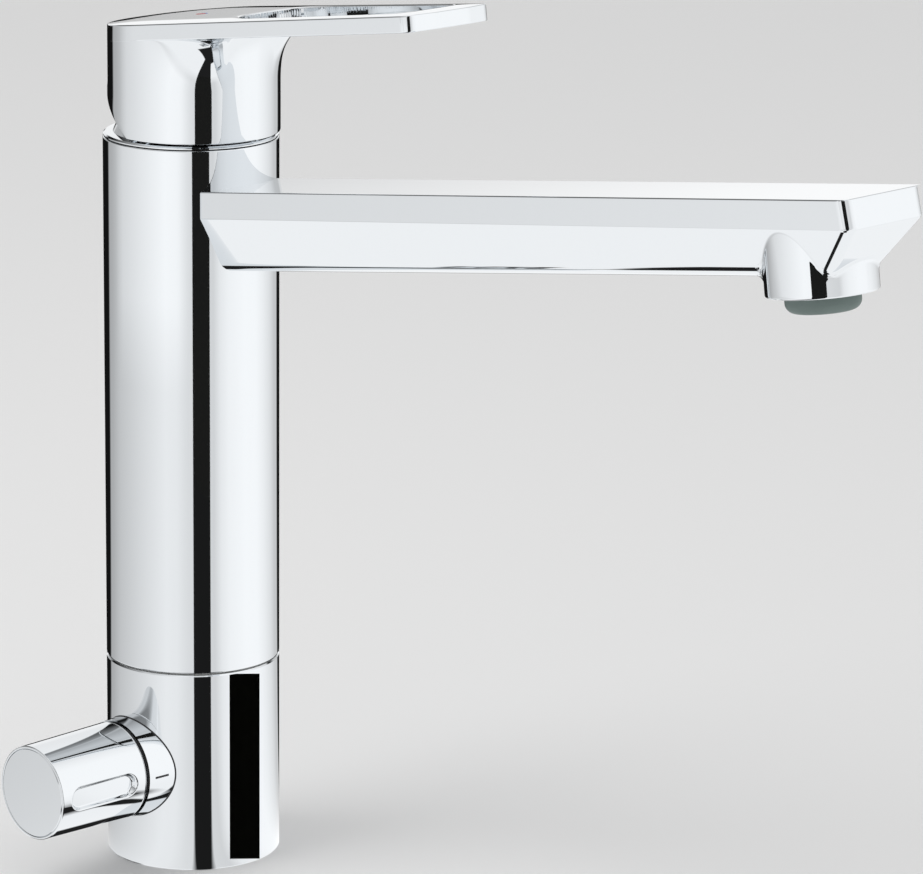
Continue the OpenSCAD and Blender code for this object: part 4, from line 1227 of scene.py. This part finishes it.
def end_in_mix(tree, part, first, second):
    """Ends a material in a mix of two shaders."""
    mix = node(tree, "ShaderNodeMixShader", [("Fac", part), (1, first.outputs[0]), (2, second.outputs[0])])
    output = next(n for n in tree.nodes if n.type == "OUTPUT_MATERIAL")
    tree.links.new(mix.outputs[0], output.inputs["Surface"])


def facing(tree):
    """0 where a ray meets a face squarely, 1 where it glances off."""
    return node(tree, "ShaderNodeLayerWeight", [("Blend", 0.5)]).outputs["Facing"]


def floor_material():
    """Pale floor that keeps the shadow, and shows its studio tones in the chrome, with painted shadow under
    the knob and the spout.
    """
    material, tree, shader = new_material("floor")
    shader.inputs["Base Color"].default_value = (*settings("tap_stage").floor, 1)
    shader.inputs["Roughness"].default_value = 0.7
    place = node(tree, "ShaderNodeNewGeometry").outputs["Position"]
    axes = node(tree, "ShaderNodeSeparateXYZ", [("Vector", place)]).outputs
    tones = surroundings(tree, place)
    sides = [beside(tree, place, *line) for line in ((STRIP_LEFT, 1), (STRIP_RIGHT, -1), (STRIP_END, 1))]
    strip = product(tree, *sides)
    steep = fade(tree, rest(tree, facing(tree)), 0.36, 0.5)
    shallow = rest(tree, steep)
    whole = maths(tree, "FLOORED_MODULO", tones["Turn"], 360)
    behind = product(tree, between(tree, whole, 105, 182, 2), shallow)
    # Painted shadow: the floor's glow for steep reflected rays is darkened under the knob and under the spout
    limits = [between(tree, axes[axis], low, high, soft) for axis, low, high, soft in PAINTED_SHADOW_PATCHES]
    painted_shadow = maths(tree, "MAXIMUM", product(tree, *limits[:2]), product(tree, *limits[2:]))
    long_shade = maths(tree, "MAXIMUM", strip, behind)
    dark = maths(tree, "MAXIMUM", long_shade, product(tree, painted_shadow, steep))
    flat = vector_maths(tree, "MULTIPLY", place, (1, 1, 0))[0]
    reach = node(tree, "ShaderNodeVectorMath", [(0, flat)], operation="LENGTH").outputs["Value"]
    far = fade(tree, reach, 0.55, 0.7)
    lift = product(tree, far, between(tree, tones["Turn"], -150, -50, 8), 0.14)
    low = maths(tree, "ADD", tones["Tone"], lift)
    tone = maths(tree, "MULTIPLY_ADD", low, shallow, product(tree, steep, 1.1))
    level = product(tree, tone, rest(tree, product(tree, dark, 0.985)))
    glow = node(tree, "ShaderNodeEmission", [("Color", level)])
    end_in_mix(tree, node(tree, "ShaderNodeLightPath").outputs["Is Glossy Ray"], shader, glow)
    return material


def dark_card(name, foot, height, least, tone):
    """An upright card seen only by reflections that meet it squarely enough."""
    material, tree, shader = new_material(name)
    shader.inputs["Base Color"].default_value = (0.004, 0.004, 0.003, 1)
    shader.inputs["Emission Color"].default_value = (tone, tone, tone, 1)
    shader.inputs["Emission Strength"].default_value = 1
    shader.inputs["Roughness"].default_value = 1
    shader.inputs["Specular IOR Level"].default_value = 0
    square = maths(tree, "LESS_THAN", facing(tree), 1 - least)
    end_in_mix(tree, square, node(tree, "ShaderNodeBsdfTransparent"), shader)
    form = bmesh.new()
    skin(form, [[Vector((*point, z)) for point in foot] for z in (0, height)], closed_rows=False)
    card = placed(name, mesh_of(name, form, material))
    for ray in ("camera", "diffuse", "transmission", "volume_scatter", "shadow"):
        setattr(card, "visible_" + ray, False)


def wavefront(sight, first, last, behind):
    """A curve that sight rays mirrored by the base meet squarely, between two degrees around its wall."""
    sight = spin((1, 0), math.radians(sight))
    points = []
    for i in range(13):
        place = spin((BODY_R, 0), math.radians(first + (last - first) * i / 12))
        way = sight - 2 * sight.dot(place) / BODY_R**2 * place
        points.append(place + way * (behind - place.dot(sight)))
    return points


def add_floor():
    """The floor, as one square sheet."""
    half = 3
    form = bmesh.new()
    form.faces.new([form.verts.new((x * half, y * half, 0)) for x, y in ((-1, -1), (1, -1), (1, 1), (-1, 1))])
    placed("floor", mesh_of("floor", form, floor_material()))


def add_world():
    """A world that the camera sees white, the chrome in tones, and other rays at the fill's strength."""
    world = bpy.data.worlds.new("studio")
    bpy.context.scene.world = world
    world.use_nodes = True
    tree = world.node_tree
    back = next(n for n in tree.nodes if n.type == "BACKGROUND")
    tones = surroundings(tree, node(tree, "ShaderNodeTexCoord").outputs["Generated"])
    rays = node(tree, "ShaderNodeLightPath").outputs
    glossy = product(tree, rays["Is Glossy Ray"], tones["Sky"])
    clear = maths(tree, "MAXIMUM", rays["Is Camera Ray"], rays["Is Transmission Ray"])
    seen = maths(tree, "MAXIMUM", clear, glossy)
    direct = maths(tree, "MAXIMUM", clear, rays["Is Glossy Ray"])
    fill = product(tree, rest(tree, direct), settings("tap_stage").fill)
    tree.links.new(maths(tree, "ADD", seen, fill), back.inputs["Color"])


def add_lamp():
    """One large lamp that the chrome doesn't mirror."""
    stage = settings("tap_stage")
    data = bpy.data.lights.new("key", "AREA")
    data.energy = stage.key
    data.size = stage.lamp_size
    lamp = placed("key", data)
    turn = (stage.lamp_place - stage.lamp_aim).to_track_quat("Z", "Y").to_matrix().to_4x4()
    lamp.matrix_world = Matrix.Translation(stage.lamp_place) @ turn
    lamp.visible_glossy = False


def add_camera():
    """The camera, from its place and its three angles."""
    stage = settings("tap_stage")
    data = bpy.data.cameras.new("camera")
    data.lens = stage.lens
    data.sensor_width = 36
    data.sensor_fit = "HORIZONTAL"
    camera = placed("camera", data)
    look = Vector((
        math.cos(stage.pitch) * math.cos(stage.yaw), math.cos(stage.pitch) * math.sin(stage.yaw),
        -math.sin(stage.pitch),
    ))
    right = Vector((math.sin(stage.yaw), -math.cos(stage.yaw), 0))
    up = right.cross(look)
    turned_right = right * math.cos(stage.roll) + up * math.sin(stage.roll)
    turned_up = up * math.cos(stage.roll) - right * math.sin(stage.roll)
    turn = Matrix((turned_right, turned_up, -look)).transposed().to_4x4()
    camera.matrix_world = Matrix.Translation(stage.place) @ turn
    bpy.context.scene.camera = camera


class TAP_OT_stage(bpy.types.Operator):
    """Floor, dark cards, surroundings, lamp and camera"""

    bl_idname = "tap.stage"
    bl_label = "Stage"

    def execute(self, context):
        context.scene.view_settings.view_transform = "Standard"
        add_floor()
        dark_card("card", CARD_FOOT, 0.9, 0, 0.0105)
        dark_card("low_card", wavefront(138.1, -17.3, 7.9, -14 * MM), 0.0517, 0.915, 0)
        add_world()
        add_lamp()
        add_camera()
        return {"FINISHED"}


class TAP_PT_panel(bpy.types.Panel):
    """Lists the tap's steps and settings"""

    bl_idname = "TAP_PT_panel"
    bl_label = "Mixer Tap"
    bl_space_type = "VIEW_3D"
    bl_region_type = "UI"
    bl_category = "Mixer Tap"

    def draw(self, context):
        for step in STEPS:
            self.layout.operator(step.bl_idname)
        for name in GROUPS:
            box = self.layout.box()
            data = settings(name)
            for key in data.bl_rna.properties.keys():
                if key not in {"rna_type", "name"}:
                    box.prop(data, key)


GROUPS = {
    "tap_spout": TapSpout,
    "tap_lever": TapLever,
    "tap_valve": TapValve,
    "tap_finishes": TapFinishes,
    "tap_stage": TapStage,
}
STEPS = [
    TAP_OT_stage, TAP_OT_frame_finishes, TAP_OT_spout, TAP_OT_lever, TAP_OT_lever_trim, TAP_OT_knob,
    TAP_OT_collar_mark, TAP_OT_seams,
]
CLASSES = [*GROUPS.values(), *STEPS, TAP_PT_panel]


def register():
    """Adds the classes and the scene's settings."""
    for cls in CLASSES:
        bpy.utils.register_class(cls)
    for name, cls in GROUPS.items():
        setattr(bpy.types.Scene, name, PointerProperty(type=cls))


def unregister():
    """Takes the settings and the classes away again."""
    for name in GROUPS:
        delattr(bpy.types.Scene, name)
    for cls in reversed(CLASSES):
        bpy.utils.unregister_class(cls)


def main():
    """Dresses the frame."""
    register()
    bpy.ops.tap.stage()
    bpy.ops.tap.frame_finishes()
    bpy.ops.tap.spout()
    bpy.ops.tap.lever()
    bpy.ops.tap.lever_trim()
    bpy.ops.tap.knob()
    bpy.ops.tap.collar_mark()
    bpy.ops.tap.seams()


if __name__ == "__main__":
    main()
